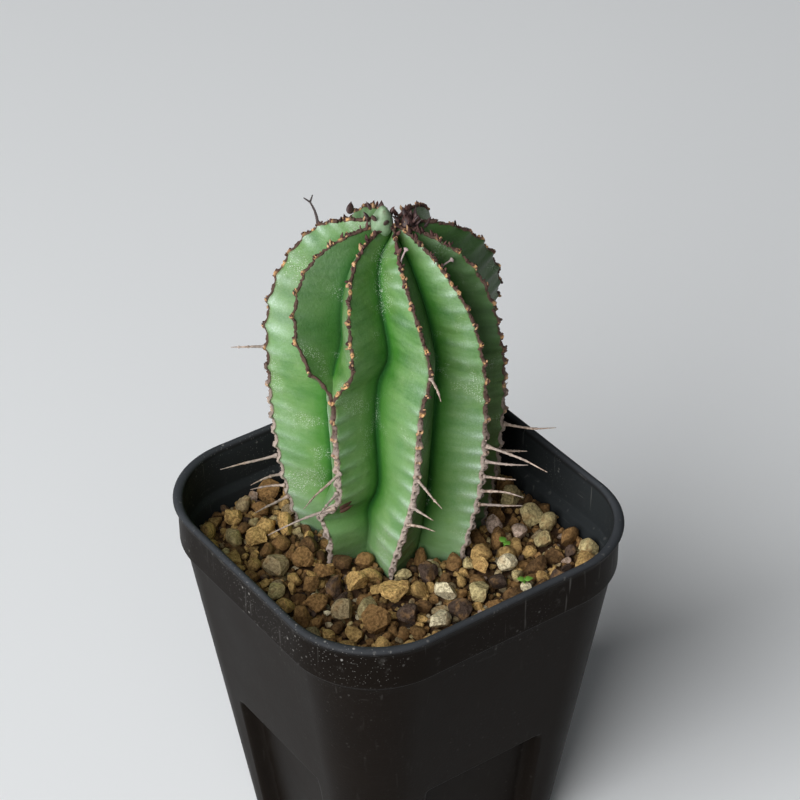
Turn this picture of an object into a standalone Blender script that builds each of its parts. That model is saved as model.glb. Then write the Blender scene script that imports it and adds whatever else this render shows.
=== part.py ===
"""Ribbed euphorbia growing in a square nursery pot.  Metres, +Z up.

Origin: middle of the pot's foot, on the surface that it stands on.  The pot's sides
are parallel to X and Y.  Every fit between pieces uses CLEARANCE.
"""
import math
import random

import bmesh
import bpy
import numpy as np
from mathutils import Matrix, Vector

MM = 0.001
CLEARANCE = 0.3 * MM          # between any two pieces that rest against each other

# ---- pot -------------------------------------------------------------------------
POT_HEIGHT = 100 * MM
RIM_WIDTH = 90 * MM           # outside, across the flats
RIM_CORNER = 22.5 * MM
RIM_BEAD_HEIGHT = 1.8 * MM
RIM_BEAD_REACH = 0.8 * MM     # how far the bead stands out from the collar
COLLAR_HEIGHT = 12.5 * MM     # the band below the rim
COLLAR_STEP = 1.7 * MM        # how far the body is set back below the band
EDGE_ROUND = 0.8 * MM         # chamfer at the foot and at the collar's step
BEAD_ROUND = 0.5 * MM
FOOT_WIDTH = 59.5 * MM
FOOT_CORNER = 10.3 * MM
POT_WALL = 1.3 * MM
FLOOR_THICKNESS = 1.5 * MM
ARCH_HEIGHT = 3.0 * MM        # air gap under the floor, between the corner feet
ARCH_SETBACK = 0.6 * MM       # how far each foot reaches past the edge of a panel
PANEL_TOP = 43.5 * MM         # upper edge of the sunk panel in each side
PANEL_MARGIN = 3.9 * MM       # flat left between the panel and the corner's round
PANEL_DEPTH = 3.6 * MM
PANEL_LEDGE = 2.2 * MM        # height of the sloped ledge at the panel's upper edge
PANEL_DRAFT = 2.0 * MM        # width of the sloped side of the panel
DRAIN_RADIUS = 3.0 * MM
DRAIN_SPACING = 16.0 * MM

# ---- potting mix -----------------------------------------------------------------
MIX_BELOW_RIM = 16.5 * MM     # down to the top of the bed that the loose stones lie on
MIX_LEVEL = POT_HEIGHT - MIX_BELOW_RIM

# ---- stem ------------------------------------------------------------------------
NECK_HEIGHT = MIX_LEVEL + 1.5 * MM  # level of the gravel round the stem
STEM_RISE = 84.5 * MM         # from the neck to the crown
WAIST_RISE = 55 * MM          # to the widest level, above which the stem is domed
ROOT_DROP = 9 * MM            # from the neck to the bottom of the buried base
STEM_TOP = NECK_HEIGHT + STEM_RISE
WAIST_HEIGHT = NECK_HEIGHT + WAIST_RISE
ROOT_HEIGHT = NECK_HEIGHT - ROOT_DROP
WAIST_RADIUS = 28.8 * MM      # over the rib crests
NECK_RADIUS = 23.4 * MM
STEM_SPACE_RIGHT = 9.4 * MM   # from the neck's crests to the pot's inside, in +X
STEM_SPACE_BACK = 5.4 * MM    # the same in +Y: the stem stands nearer the back corner
DOME_POWER = 2.15
SIDE_POWER = 2.5
FURROW_SHARE = 0.62           # furrow radius as a share of the crest radius
FORK_FURROW_SHARE = 0.73
CROWN_SINK = 3.0 * MM         # how far the furrows lie below the crests at the crown
CREST_ROUND = 1.6             # degrees kept between the two crests below the fork
FORK_OPEN = 32.0              # degrees between them at which their furrow is full depth
FACE_BULGE = 0.6 * MM
FACE_STEPS = 3

# Azimuth of each rib crest, in degrees, at these shares of the stem's rise.  The left
# and fork crests are one rib in the lower half and part above it.
CREST_LEVELS = (0.0, 0.3, 0.615, 0.72, 0.83, 0.925, 1.0)
CRESTS = {
    "side": (147, 149, 149, 144, 130, 117, 125),
    "left": (190, 205, 204, 184, 170, 160, 158),
    "fork": (190, 205, 206, 215, 211, 203, 190),
    "front": (232, 244, 248, 252, 249, 244, 239),
    "right": (279, 284, 283, 281, 280, 277, 275),
    "shade": (318, 317, 309, 303, 304, 307, 302),
    "back_right": (364, 362, 357, 352, 349, 345, 340),
    "back": (412, 410, 406, 402, 397, 392, 390),
    "back_left": (460, 460, 457, 452, 446, 438, 436),
}
CREST_REACH = {"side": 1.06, "shade": 0.94}
FURROW_SKEW = {"fork": -4.0}  # degrees that the furrow after a crest lies off the middle

# Dried flower stalks: rib, height above the neck, length, both in mm, then the turn
# from the rib's own direction and the rise, both in degrees
STALKS = [
    ("side", 52, 7.5, 5, 5),
    ("side", 20, 14, 18, 0),
    ("side", 14, 8, 28, 0),
    ("side", 10.5, 8, 9, 0),
    ("side", 7, 10, 37, 0),
    ("left", 32, 13, -13, -10),
    ("left", 25, 8, -2, -10),
    ("left", 20, 16.5, -36, -10),
    ("front", 60, 7, 0, -10),
    ("front", 32, 10, 22, -10),
    ("front", 23.5, 6, 40, -5),
    ("front", 18, 6.5, 62, 0),
    ("right", 34.5, 15.5, 10, -5),
    ("right", 30, 9.5, 32, 0),
    ("right", 25.5, 7.2, 30, 0),
    ("right", 21, 9.7, 28, 0),
    ("right", 17, 10, 38, 0),
    ("shade", 30.5, 12, 0, 0),
    ("shade", 22, 6, 5, 0),
    ("back_right", 23, 9, 10, 0),
    ("back_left", 27, 4.5, -10, 0),
]
STALK_ROOT_RADIUS = 0.55 * MM
STALK_TIP_RADIUS = 0.16 * MM
STALK_BOW = 0.05              # sideways bow as a share of the length

# Young growth on the crown: name, rib, depth below the crown, length and width, all
# in mm, then the rise in degrees and the kind
CROWN_GROWTH = [
    ("crown_bud_green", "back_left", 0.9, 6.5, 4.2, 78, "bud"),
    ("crown_bud_brown", "back_right", 0.9, 5.0, 4.6, 70, "bud"),
    ("crown_leaf_left", "back_left", 4.5, 3.2, 1.6, 60, "leaf"),
    ("crown_leaf_right", "back_right", 4, 5.0, 1.7, 75, "leaf"),
    ("crown_leaf_back", "back", 3, 4.0, 1.7, 65, "leaf"),
    ("crown_twig", "side", 9, 7.0, 1.1, 55, "twig"),
]

# Loose stones on the bed: wished x and y, length, width, height, all in mm, the turn
# in degrees and the kind of stone
STONES = [
    (-10.2, -12.8, 8.2, 6.4, 5.6, 20, "akadama_tan"),
    (0.2, -19.4, 6.2, 5.4, 5.6, 70, "pumice_white"),
    (6.6, -24.6, 6.8, 5.8, 5.2, -20, "pumice_olive"),
    (-7.4, -27.6, 6.2, 5.0, 4.4, 10, "pumice_white"),
    (0.4, -11.9, 5.6, 5.0, 5.0, 40, "lava_grey"),
    (-12.2, -21.4, 6.2, 5.0, 4.6, 0, "lava_grey"),
    (-19.4, -19.2, 7.4, 6.8, 6.2, 30, "akadama_brown"),
    (-23.6, -11.8, 6.8, 5.8, 5.0, -35, "pumice_grey"),
    (-15.6, -4.9, 6.6, 5.6, 5.8, 80, "akadama_tan"),
    (-24.6, 1.4, 5.4, 5.0, 4.6, 0, "akadama_brown"),
    (-27.2, -4.8, 5.6, 4.6, 4.4, 25, "akadama_brown"),
    (-19.2, 3.4, 5.0, 4.6, 5.0, 50, "akadama_brown"),
    (-20.4, 10.2, 5.4, 5.0, 4.8, -20, "akadama_brown"),
    (-27.6, 11.6, 6.8, 5.8, 5.4, 60, "pumice_grey"),
    (-25.0, 23.4, 6.4, 5.6, 4.8, 0, "akadama_tan"),
    (12.6, -16.6, 5.6, 3.8, 4.4, 80, "akadama_tan"),
    (18.0, -20.4, 4.8, 4.0, 5.2, 15, "pumice_white"),
    (34.4, 0.8, 6.4, 5.6, 5.4, 10, "pumice_olive"),
    (34.2, -8.2, 6.2, 5.6, 5.6, -30, "pumice_olive"),
    (31.0, -17.8, 5.2, 4.6, 4.6, 0, "pumice_olive"),
    (24.6, -6.4, 4.8, 4.0, 5.2, 60, "pumice_pink"),
    (27.6, -12.0, 4.8, 4.0, 5.2, 30, "pumice_pink"),
    (-25.6, 33.6, 5.6, 4.8, 4.4, 15, "akadama_tan"),
    (-17.4, 32.6, 5.4, 4.6, 4.4, -15, "akadama_brown"),
    (33.0, 29.6, 6.4, 5.4, 5.0, 45, "akadama_tan"),
    (-32.6, 4.4, 5.0, 4.2, 4.0, 0, "pumice_olive"),
]
STONE_ROUGHNESS = 0.10        # knobbliness as a share of the size
SEED = 11
BELLY = 0.6                   # share of a stone's height at which it is widest
SETTLE_ROUNDS = 60

# Tiny weeds that have come up in the gravel: x and y
SPROUTS = [(21.6, -14.2), (17.0, -28.4)]
SPROUT_HEIGHT = 4.2 * MM
SPROUT_RADIUS = 1.0 * MM


def material(name, colour, roughness, metallic=0.0):
    """Plain Principled material, made once for each name."""
    found = bpy.data.materials.get(name)
    if found:
        return found
    made = bpy.data.materials.new(name)
    made.use_nodes = True
    shader = made.node_tree.nodes["Principled BSDF"]
    shader.inputs["Base Color"].default_value = (*colour, 1.0)
    shader.inputs["Roughness"].default_value = roughness
    shader.inputs["Metallic"].default_value = metallic
    return made


COLOURS = {
    "pot_plastic": ((0.012, 0.012, 0.013), 0.45),
    "mix_grains": ((0.22, 0.13, 0.07), 0.95),
    "stem_skin": ((0.13, 0.28, 0.11), 0.5),
    "dry_stalk": ((0.45, 0.30, 0.22), 0.85),
    "young_leaf": ((0.10, 0.045, 0.05), 0.6),
    "sprout_green": ((0.12, 0.30, 0.04), 0.5),
    "akadama_tan": ((0.45, 0.27, 0.13), 0.95),
    "akadama_brown": ((0.25, 0.13, 0.065), 0.95),
    "lava_grey": ((0.12, 0.095, 0.08), 0.95),
    "pumice_white": ((0.72, 0.66, 0.55), 0.9),
    "pumice_olive": ((0.50, 0.45, 0.30), 0.9),
    "pumice_grey": ((0.38, 0.34, 0.27), 0.9),
    "pumice_pink": ((0.50, 0.40, 0.36), 0.9),
}


def add_mesh(name, points, faces, finish, smooth=True):
    """New object from points and faces, with its normals turned outwards."""
    mesh = bpy.data.meshes.new(name)
    mesh.from_pydata([tuple(p) for p in points], [], faces)
    shape = bmesh.new()
    shape.from_mesh(mesh)
    bmesh.ops.recalc_face_normals(shape, faces=shape.faces)
    shape.to_mesh(mesh)
    shape.free()
    if smooth:
        mesh.shade_smooth()
        mesh.set_sharp_from_angle(angle=math.radians(35))
    colour, roughness = COLOURS[finish]
    mesh.materials.append(material(finish, colour, roughness))
    made = bpy.data.objects.new(name, mesh)
    bpy.context.scene.collection.objects.link(made)
    return made


def skin_rings(rings, first_pole=None, last_pole=None):
    """Triangles between closed rings of equal length, ended by poles or by flat lids.

    The diagonals all lean the same way, so two nested skins with their rings in the
    same order bend along the same lines and keep their gap.
    """
    count = len(rings[0])
    points = [p for ring in rings for p in ring]
    faces = []
    for level in range(len(rings) - 1):
        low = level * count
        for step in range(count):
            turn = (step + 1) % count
            faces.append((low + step, low + turn, low + count + turn))
            faces.append((low + step, low + count + turn, low + count + step))
    for start, pole in ((0, first_pole), (len(points) - count, last_pole)):
        ring = list(range(start, start + count))
        if pole is None:
            faces.append(ring)
            continue
        points.append(pole)
        tip = len(points) - 1
        faces.extend((ring[i], ring[(i + 1) % count], tip) for i in range(count))
    return points, faces


def cut(target, cutter):
    """Boolean difference; the cutter stays as a hidden guide."""
    cutter.hide_render = True
    cutter.display_type = "WIRE"
    step = target.modifiers.new("cut_" + cutter.name, "BOOLEAN")
    step.operation = "DIFFERENCE"
    step.solver = "EXACT"
    step.object = cutter


# ---- pot and potting mix ---------------------------------------------------------
CORNER_STEPS = 6


def side_offset(z):
    """Half width of the outside of the body, which tapers straight to the foot."""
    top = POT_HEIGHT - COLLAR_HEIGHT
    shoulder = RIM_WIDTH / 2 - RIM_BEAD_REACH - COLLAR_STEP
    share = min(max(z / top, 0.0), 1.0)
    return FOOT_WIDTH / 2 + (shoulder - FOOT_WIDTH / 2) * share


def corner_radius(z):
    """Corner radius of the outside of the body at a height."""
    share = min(max(z / (POT_HEIGHT - COLLAR_HEIGHT), 0.0), 1.0)
    return FOOT_CORNER + (RIM_CORNER - COLLAR_STEP * 2 - FOOT_CORNER) * share


def panel_half_width():
    """Half width of the sunk panel, from the flat of the side at the panel's top."""
    flat = side_offset(PANEL_TOP) - corner_radius(PANEL_TOP)
    return flat - PANEL_MARGIN - PANEL_DRAFT


def section(half, radius, z, sink=0.0, inset=0.0):
    """Rounded square at height z; each side has a panel sunk by `sink`.

    A positive inset moves the whole outline inwards by that much.
    """
    half -= inset
    radius = max(radius - inset, MM)
    panel = panel_half_width() + inset
    ramp = [(-panel - PANEL_DRAFT, 0.0), (-panel, sink), (panel, sink), (panel + PANEL_DRAFT, 0.0)]
    ring = []
    for quarter in range(4):
        turn = Matrix.Rotation(quarter * math.pi / 2, 3, "Z")
        for along, depth in ramp:
            ring.append(turn @ Vector((along, depth - half, z)))
        for step in range(CORNER_STEPS + 1):
            angle = -math.pi / 2 + step / CORNER_STEPS * math.pi / 2
            x = half - radius + radius * math.cos(angle)
            y = radius - half + radius * math.sin(angle)
            ring.append(turn @ Vector((x, y, z)))
    return ring


def body_section(z, sink=0.0, inset=0.0):
    return section(side_offset(z), corner_radius(z), z, sink, inset)


def build_pot():
    rim = RIM_WIDTH / 2
    collar = rim - RIM_BEAD_REACH
    collar_foot = POT_HEIGHT - COLLAR_HEIGHT
    ledge = PANEL_TOP - PANEL_LEDGE
    foot_edge = EDGE_ROUND
    bead_foot = POT_HEIGHT - RIM_BEAD_HEIGHT
    inner_ledge = ledge + POT_WALL / 2
    floor_top = ARCH_HEIGHT + FLOOR_THICKNESS
    bead_round = BEAD_ROUND
    rings = [
        body_section(0.0, PANEL_DEPTH, foot_edge),
        body_section(foot_edge, PANEL_DEPTH),
        body_section(ledge, PANEL_DEPTH),
        body_section(PANEL_TOP),
        body_section(collar_foot - foot_edge),
        section(collar, RIM_CORNER, collar_foot + foot_edge),
        section(collar, RIM_CORNER, bead_foot - bead_round),
        section(rim, RIM_CORNER, bead_foot),
        section(rim, RIM_CORNER, POT_HEIGHT - bead_round),
        section(rim, RIM_CORNER, POT_HEIGHT, inset=bead_round),
        section(collar, RIM_CORNER, POT_HEIGHT, inset=POT_WALL - bead_round),
        section(collar, RIM_CORNER, POT_HEIGHT - bead_round, inset=POT_WALL),
        section(collar, RIM_CORNER, collar_foot + foot_edge + POT_WALL, inset=POT_WALL),
        body_section(collar_foot - foot_edge, inset=POT_WALL),
        body_section(PANEL_TOP + POT_WALL, inset=POT_WALL),
        body_section(inner_ledge, PANEL_DEPTH, POT_WALL),
        body_section(floor_top, PANEL_DEPTH, POT_WALL),
    ]
    pot = add_mesh("pot", *skin_rings(rings), "pot_plastic")
    arm = 2 * (panel_half_width() - ARCH_SETBACK)
    for name, length, width in (("arch_x", RIM_WIDTH, arm), ("arch_y", arm, RIM_WIDTH)):
        cut(pot, box_guide(name, length, width, ARCH_HEIGHT))
    places = [(0, 0), (1, 0), (-1, 0), (0, 1), (0, -1)]
    for number, (x, y) in enumerate(places, 1):
        cut(pot, drain_guide("drain_%d" % number, x * DRAIN_SPACING, y * DRAIN_SPACING, floor_top))


def box_guide(name, length, width, height):
    """Cutter for the arch under the floor, open below."""
    below = height
    corners = [(x * length / 2, y * width / 2, z)
               for z in (-below, height) for x, y in ((-1, -1), (1, -1), (1, 1), (-1, 1))]
    rings = [corners[:4], corners[4:]]
    return add_mesh(name, *skin_rings(rings), "pot_plastic", smooth=False)


def drain_guide(name, x, y, top):
    """Cutter for one drain hole, running past both faces of the floor."""
    sides = 16
    margin = 2 * MM
    rings = []
    for z in (ARCH_HEIGHT - margin, top + margin):
        angles = [2 * math.pi * i / sides for i in range(sides)]
        rings.append([Vector((x + DRAIN_RADIUS * math.cos(a), y + DRAIN_RADIUS * math.sin(a), z))
                      for a in angles])
    return add_mesh(name, *skin_rings(rings), "pot_plastic")


def build_mix():
    gap = POT_WALL + CLEARANCE
    ledge = PANEL_TOP - PANEL_LEDGE + POT_WALL / 2 + CLEARANCE
    floor_top = ARCH_HEIGHT + FLOOR_THICKNESS + CLEARANCE
    rings = [
        body_section(MIX_LEVEL, inset=gap),
        body_section(PANEL_TOP + POT_WALL + CLEARANCE, inset=gap),
        body_section(ledge, PANEL_DEPTH, gap),
        body_section(floor_top, PANEL_DEPTH, gap),
    ]
    mix = add_mesh("potting_mix", *skin_rings(rings), "mix_grains")
    socket = add_mesh("stem_socket", *stem_skin(CLEARANCE), "mix_grains")
    cut(mix, socket)


# ---- stem ------------------------------------------------------------------------
def smooth_table(at, values, x):
    """Cubic Hermite curve through the points (at, values), held level past its ends."""
    at = np.asarray(at, float)
    values = np.asarray(values, float)
    slope = np.gradient(values, at)
    x = np.clip(x, at[0], at[-1])
    low = np.clip(np.searchsorted(at, x) - 1, 0, len(at) - 2)
    span = at[low + 1] - at[low]
    t = (x - at[low]) / span
    start = (1 + 2 * t) * (1 - t) ** 2 * values[low] + t * (1 - t) ** 2 * span * slope[low]
    end = t * t * (3 - 2 * t) * values[low + 1] + t * t * (t - 1) * span * slope[low + 1]
    return start + end


def crest_profile():
    """Radius and height of the rib crests from the buried base up to the crown."""
    bury = np.array([0.25, 0.5, 0.75, 1.0])
    buried_radius = NECK_RADIUS * np.sin(bury * math.pi / 2) ** 0.8
    buried_height = NECK_HEIGHT - ROOT_DROP * np.cos(bury * math.pi / 2)
    rise = np.linspace(0, 1, 10)[1:]
    side_height = NECK_HEIGHT + WAIST_RISE * rise
    side_radius = WAIST_RADIUS - (WAIST_RADIUS - NECK_RADIUS) * (1 - rise) ** SIDE_POWER
    lean = np.radians(np.array([12, 24, 35, 45, 54, 62, 70, 77, 83, 87]))
    power = 2 / DOME_POWER
    dome_radius = WAIST_RADIUS * np.cos(lean) ** power
    dome_height = WAIST_HEIGHT + (STEM_TOP - WAIST_HEIGHT) * np.sin(lean) ** power
    radius = np.concatenate([buried_radius, side_radius, dome_radius])
    height = np.concatenate([buried_height, side_height, dome_height])
    return radius, height


def stem_place():
    """Middle of the stem, set from its distance to the pot's inside at the gravel."""
    inside = side_offset(NECK_HEIGHT) - POT_WALL - NECK_RADIUS
    return inside - STEM_SPACE_RIGHT, inside - STEM_SPACE_BACK


def crest_azimuth(rib, height):
    """Azimuth of a rib's crest; the fork's crest keeps beside the left one it grows from."""
    level = (height - NECK_HEIGHT) / STEM_RISE
    azimuth = np.radians(smooth_table(CREST_LEVELS, CRESTS[rib], level))
    if rib == "fork":
        azimuth = np.maximum(azimuth, crest_azimuth("left", height) + math.radians(CREST_ROUND))
    return azimuth


def crest_radius(height):
    radius, level = crest_profile()
    return float(np.interp(height, level, radius))


def crest_point(rib, height):
    """Point on a rib's crest at a height, and the rib's own direction there."""
    azimuth = float(crest_azimuth(rib, height))
    reach = crest_radius(height) * CREST_REACH.get(rib, 1.0)
    x, y = stem_place()
    return Vector((x + reach * math.cos(azimuth), y + reach * math.sin(azimuth), height)), azimuth


def stem_skin(grow=0.0):
    """Points and faces of the stem: crests and furrows joined by gently bulged faces.

    `grow` moves the skin outwards, for the socket that the stem stands in.
    """
    radius, height = crest_profile()
    order = list(CRESTS)
    columns = []
    for here, rib in enumerate(order):
        after = order[(here + 1) % len(order)]
        full_turn = 2 * math.pi if here == len(order) - 1 else 0.0
        first = crest_azimuth(rib, height)
        last = crest_azimuth(after, height) + full_turn
        forked = rib == "left"
        share = FORK_FURROW_SHARE if forked else FURROW_SHARE
        opened = np.clip((last - first - math.radians(CREST_ROUND)) / math.radians(FORK_OPEN), 0, 1)
        depth = (1 - share) * (opened if forked else 1.0)
        middle = (first + last) / 2 + math.radians(FURROW_SKEW.get(rib, 0.0)) * opened
        sunk = CROWN_SINK * np.clip((height - WAIST_HEIGHT) / (STEM_TOP - WAIST_HEIGHT), 0, 1)
        furrow = (middle, radius * (1 - depth), height - sunk * depth / (1 - FURROW_SHARE))
        start = (first, radius * CREST_REACH.get(rib, 1.0), height)
        stop = (last, radius * CREST_REACH.get(after, 1.0), height)
        for near, far, forward in ((start, furrow, True), (furrow, stop, False)):
            for step in range(FACE_STEPS):
                t = step / FACE_STEPS
                columns.append(face_column(near, far, t, depth, grow))
    rings = list(np.stack(columns, axis=1))
    rings = [[Vector(p) for p in ring] for ring in rings]
    root = Vector((*stem_place(), ROOT_HEIGHT - grow))
    crown = Vector((*stem_place(), STEM_TOP - CROWN_SINK / 2))
    return skin_rings(rings, root, crown)


def face_column(near, far, t, depth, grow):
    """One column of stem points, a share t of the way across a rib's face."""
    ends = []
    for azimuth, reach, level in (near, far):
        ends.append(np.stack([reach * np.cos(azimuth), reach * np.sin(azimuth), level], axis=-1))
    place = ends[0] * (1 - t) + ends[1] * t
    flat = np.hypot(place[:, 0], place[:, 1])
    bulge = FACE_BULGE * 4 * t * (1 - t) * depth / (1 - FURROW_SHARE)
    stretch = (flat + bulge * np.clip(flat / (5 * MM), 0, 1) + grow * 1.5) / flat
    x, y = stem_place()
    place[:, 0] = x + place[:, 0] * stretch
    place[:, 1] = y + place[:, 1] * stretch
    return place


# ---- small pieces ----------------------------------------------------------------
def tapered(name, base, heading, length, radii, finish, bow=0.0, sides=6):
    """Slender closed piece along a heading, with one radius for each of its rings."""
    side = heading.cross(Vector((0, 0, 1))).normalized()
    over = side.cross(heading).normalized()
    rings = []
    for number, radius in enumerate(radii):
        share = number / (len(radii) - 1)
        middle = base + heading * length * share + side * bow * length * math.sin(math.pi * share)
        angles = [2 * math.pi * i / sides for i in range(sides)]
        rings.append([middle + side * radius * math.cos(a) + over * radius * math.sin(a)
                      for a in angles])
    return add_mesh(name, *skin_rings(rings), finish)


def heading_from(azimuth, rise):
    flat = math.cos(rise)
    return Vector((flat * math.cos(azimuth), flat * math.sin(azimuth), math.sin(rise)))


def build_stalks():
    numbers = {}
    for rib, height, length, turn, rise in STALKS:
        numbers[rib] = numbers.get(rib, 0) + 1
        crest, azimuth = crest_point(rib, NECK_HEIGHT + height * MM)
        heading = heading_from(azimuth + math.radians(turn), math.radians(rise))
        base = crest + heading * CLEARANCE
        radii = [STALK_ROOT_RADIUS, STALK_ROOT_RADIUS * 0.7, STALK_ROOT_RADIUS * 0.5, STALK_TIP_RADIUS]
        bow = STALK_BOW * (-1) ** numbers[rib]
        tapered("stalk_%s_%d" % (rib, numbers[rib]), base, heading, length * MM, radii,
                "dry_stalk", bow)


def build_crown_growth():
    outlines = {"bud": (0.9, 1.0, 0.95, 0.7, 0.25), "leaf": (0.8, 1.0, 0.7, 0.15),
                "twig": (1.0, 0.7, 0.5, 0.4)}
    finishes = {"bud": "stem_skin", "leaf": "young_leaf", "twig": "dry_stalk"}
    for name, rib, depth, length, width, rise, kind in CROWN_GROWTH:
        crest, azimuth = crest_point(rib, STEM_TOP - depth * MM)
        heading = heading_from(azimuth, math.radians(rise))
        base = crest + heading * CLEARANCE * 1.5
        radii = [width / 2 * MM * share for share in outlines[kind]]
        tapered(name, base, heading, length * MM, radii, finishes[kind], sides=8)


def stem_outline(height):
    """The stem's outline at a height, as an array of x, y points."""
    points, _ = stem_skin()
    count = len(CRESTS) * 2 * FACE_STEPS
    rings = np.array([tuple(p) for p in points[:-2]]).reshape(-1, count, 3)
    return np.array([[np.interp(height, rings[:, i, 2], rings[:, i, axis]) for axis in (0, 1)]
                     for i in range(count)])


def bed_places():
    """Middles of the loose stones and sprouts, moved apart until nothing touches.

    Each keeps its own radius clear of its neighbours, of the pot's inside and of the
    stem's outline at half its height.
    """
    wished = [(x, y, max(length, width) / 2, height) for x, y, length, width, height, _, _ in STONES]
    wished += [(x, y, SPROUT_RADIUS / MM, SPROUT_HEIGHT / MM) for x, y in SPROUTS]
    wished = np.array(wished) * MM
    places = wished[:, :2].copy()
    radii = wished[:, 2] + CLEARANCE
    outlines = [stem_outline(MIX_LEVEL + height * BELLY) for height in wished[:, 3]]
    half = side_offset(MIX_LEVEL) - POT_WALL
    corner = corner_radius(MIX_LEVEL) - POT_WALL
    for _ in range(SETTLE_ROUNDS):
        for one in range(len(places)):
            away = places[one] - np.delete(places, one, axis=0)
            distance = np.hypot(*away.T)
            short = np.clip(radii[one] + np.delete(radii, one) - distance, 0, None)
            places[one] += (away / distance[:, None] * short[:, None] / 2).sum(axis=0)
            places[one] = off_outline(places[one], radii[one], outlines[one])
            places[one] = inside_square(places[one], radii[one], half, corner)
    return places


def off_outline(place, radius, outline):
    """Push a round thing outwards until it clears the stem's outline."""
    along = np.roll(outline, -1, axis=0) - outline
    share = ((place - outline) * along).sum(axis=1) / (along ** 2).sum(axis=1)
    nearest = outline + along * np.clip(share, 0, 1)[:, None]
    distance = np.hypot(*(place - nearest).T).min()
    outward = place - np.array(stem_place())
    return place + outward / np.hypot(*outward) * max(radius - distance, 0.0)


def inside_square(place, radius, half, corner):
    """Pull a round thing inwards until it clears the pot's inside."""
    straight = half - corner
    over = np.clip(np.abs(place) - straight, 0, None)
    reach = np.hypot(*over)
    limit = corner - radius
    if reach > limit:
        over *= limit / reach
    return np.sign(place) * (np.minimum(np.abs(place), straight) + over)


def build_stones(places):
    source = random.Random(SEED)
    for number, (stone, place) in enumerate(zip(STONES, places), 1):
        length, width, height, turn, kind = stone[2:]
        shape = bmesh.new()
        bmesh.ops.create_icosphere(shape, subdivisions=2, radius=0.5)
        for vert in shape.verts:
            vert.co *= 1 + STONE_ROUGHNESS * (2 * source.random() - 1.6)
        stretch = Matrix.Diagonal((length * MM, width * MM, height * MM, 1))
        turned = Matrix.Rotation(math.radians(turn), 4, "Z") @ stretch
        bmesh.ops.transform(shape, matrix=turned, verts=shape.verts)
        lowest = min(vert.co.z for vert in shape.verts)
        lift = Matrix.Translation((*place, MIX_LEVEL + CLEARANCE - lowest))
        name = "stone_%02d" % number
        mesh = bpy.data.meshes.new(name)
        bmesh.ops.transform(shape, matrix=lift, verts=shape.verts)
        shape.to_mesh(mesh)
        shape.free()
        colour, roughness = COLOURS[kind]
        mesh.materials.append(material(kind, colour, roughness))
        bpy.context.scene.collection.objects.link(bpy.data.objects.new(name, mesh))


def build_sprouts(places):
    for number, place in enumerate(places, 1):
        base = Vector((*place, MIX_LEVEL + CLEARANCE))
        radii = [SPROUT_RADIUS * share for share in (0.35, 0.4, 1.0, 0.7)]
        heading = heading_from(math.radians(40 * number), math.radians(84))
        tapered("sprout_%d" % number, base, heading, SPROUT_HEIGHT, radii, "sprout_green", sides=8)


for old in list(bpy.data.objects):
    bpy.data.objects.remove(old)
build_pot()
build_mix()
add_mesh("euphorbia_stem", *stem_skin(), "stem_skin")
build_stalks()
build_crown_growth()
bed = bed_places()
build_stones(bed[:len(STONES)])
build_sprouts(bed[len(STONES):])
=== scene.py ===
import math

import bpy
import numpy as np
from mathutils import Matrix, Vector


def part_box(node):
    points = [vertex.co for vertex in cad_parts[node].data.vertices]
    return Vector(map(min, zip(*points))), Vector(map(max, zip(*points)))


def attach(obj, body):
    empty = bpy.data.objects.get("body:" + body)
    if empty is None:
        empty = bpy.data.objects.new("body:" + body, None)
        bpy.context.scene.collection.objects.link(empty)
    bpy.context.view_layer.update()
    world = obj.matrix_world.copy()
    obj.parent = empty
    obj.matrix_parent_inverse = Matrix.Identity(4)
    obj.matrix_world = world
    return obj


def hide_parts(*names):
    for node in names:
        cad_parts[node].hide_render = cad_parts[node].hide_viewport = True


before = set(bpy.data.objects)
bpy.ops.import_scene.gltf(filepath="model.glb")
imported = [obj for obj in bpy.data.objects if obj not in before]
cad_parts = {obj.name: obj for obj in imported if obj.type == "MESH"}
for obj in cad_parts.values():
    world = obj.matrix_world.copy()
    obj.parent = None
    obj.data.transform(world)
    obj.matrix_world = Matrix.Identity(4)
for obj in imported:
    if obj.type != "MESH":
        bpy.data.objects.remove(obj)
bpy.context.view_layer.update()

MM = 0.001

# ---- Nursery pot -----------------------------------------------------------------
# One thin injection-moulded shell of black plastic: a rolled bead at the rim, a collar,
# a body that tapers to four corner feet, and a sunk panel in each side that stiffens it.
pot_low, pot_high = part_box("pot")
POT_HEIGHT = pot_high[2]
RIM_HALF = (pot_high[0] - pot_low[0]) / 2
RIM_CORNER = 22.5 * MM
COLLAR_HALF = RIM_HALF - 0.8 * MM
COLLAR_HEIGHT = 12.5 * MM
COLLAR_FOOT = POT_HEIGHT - COLLAR_HEIGHT
SHOULDER_HALF = COLLAR_HALF - 1.7 * MM
FOOT_HALF = 29.75 * MM
FOOT_CORNER = 10.3 * MM
SHOULDER_CORNER = RIM_CORNER - 3.4 * MM
WALL = 1.3 * MM
PANEL_HALF = 15.5 * MM
PANEL_RAMP = 2.0 * MM
PANEL_TOP = 43.5 * MM
PANEL_LEDGE = 2.2 * MM
PANEL_DEPTH = 3.6 * MM
ARCH = 3.0 * MM
FLOOR_PLATE = 1.5 * MM
BEAD = 0.9 * MM
DRAIN_RADIUS = 3.0 * MM
DRAIN_SPACING = 16.0 * MM
DRAIN_PLACES = ((0, 0), (1, 0), (-1, 0), (0, 1), (0, -1))
FOOT_ROUND = 0.5 * MM
SIDE_COLUMNS = 84
CORNER_COLUMNS = 24


def ease(low, high, x):
    """Smoothstep: 0 at low, 1 at high, with a level start and end."""
    share = np.clip((x - low) / (high - low), 0.0, 1.0)
    return share * share * (3 - 2 * share)


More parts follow.
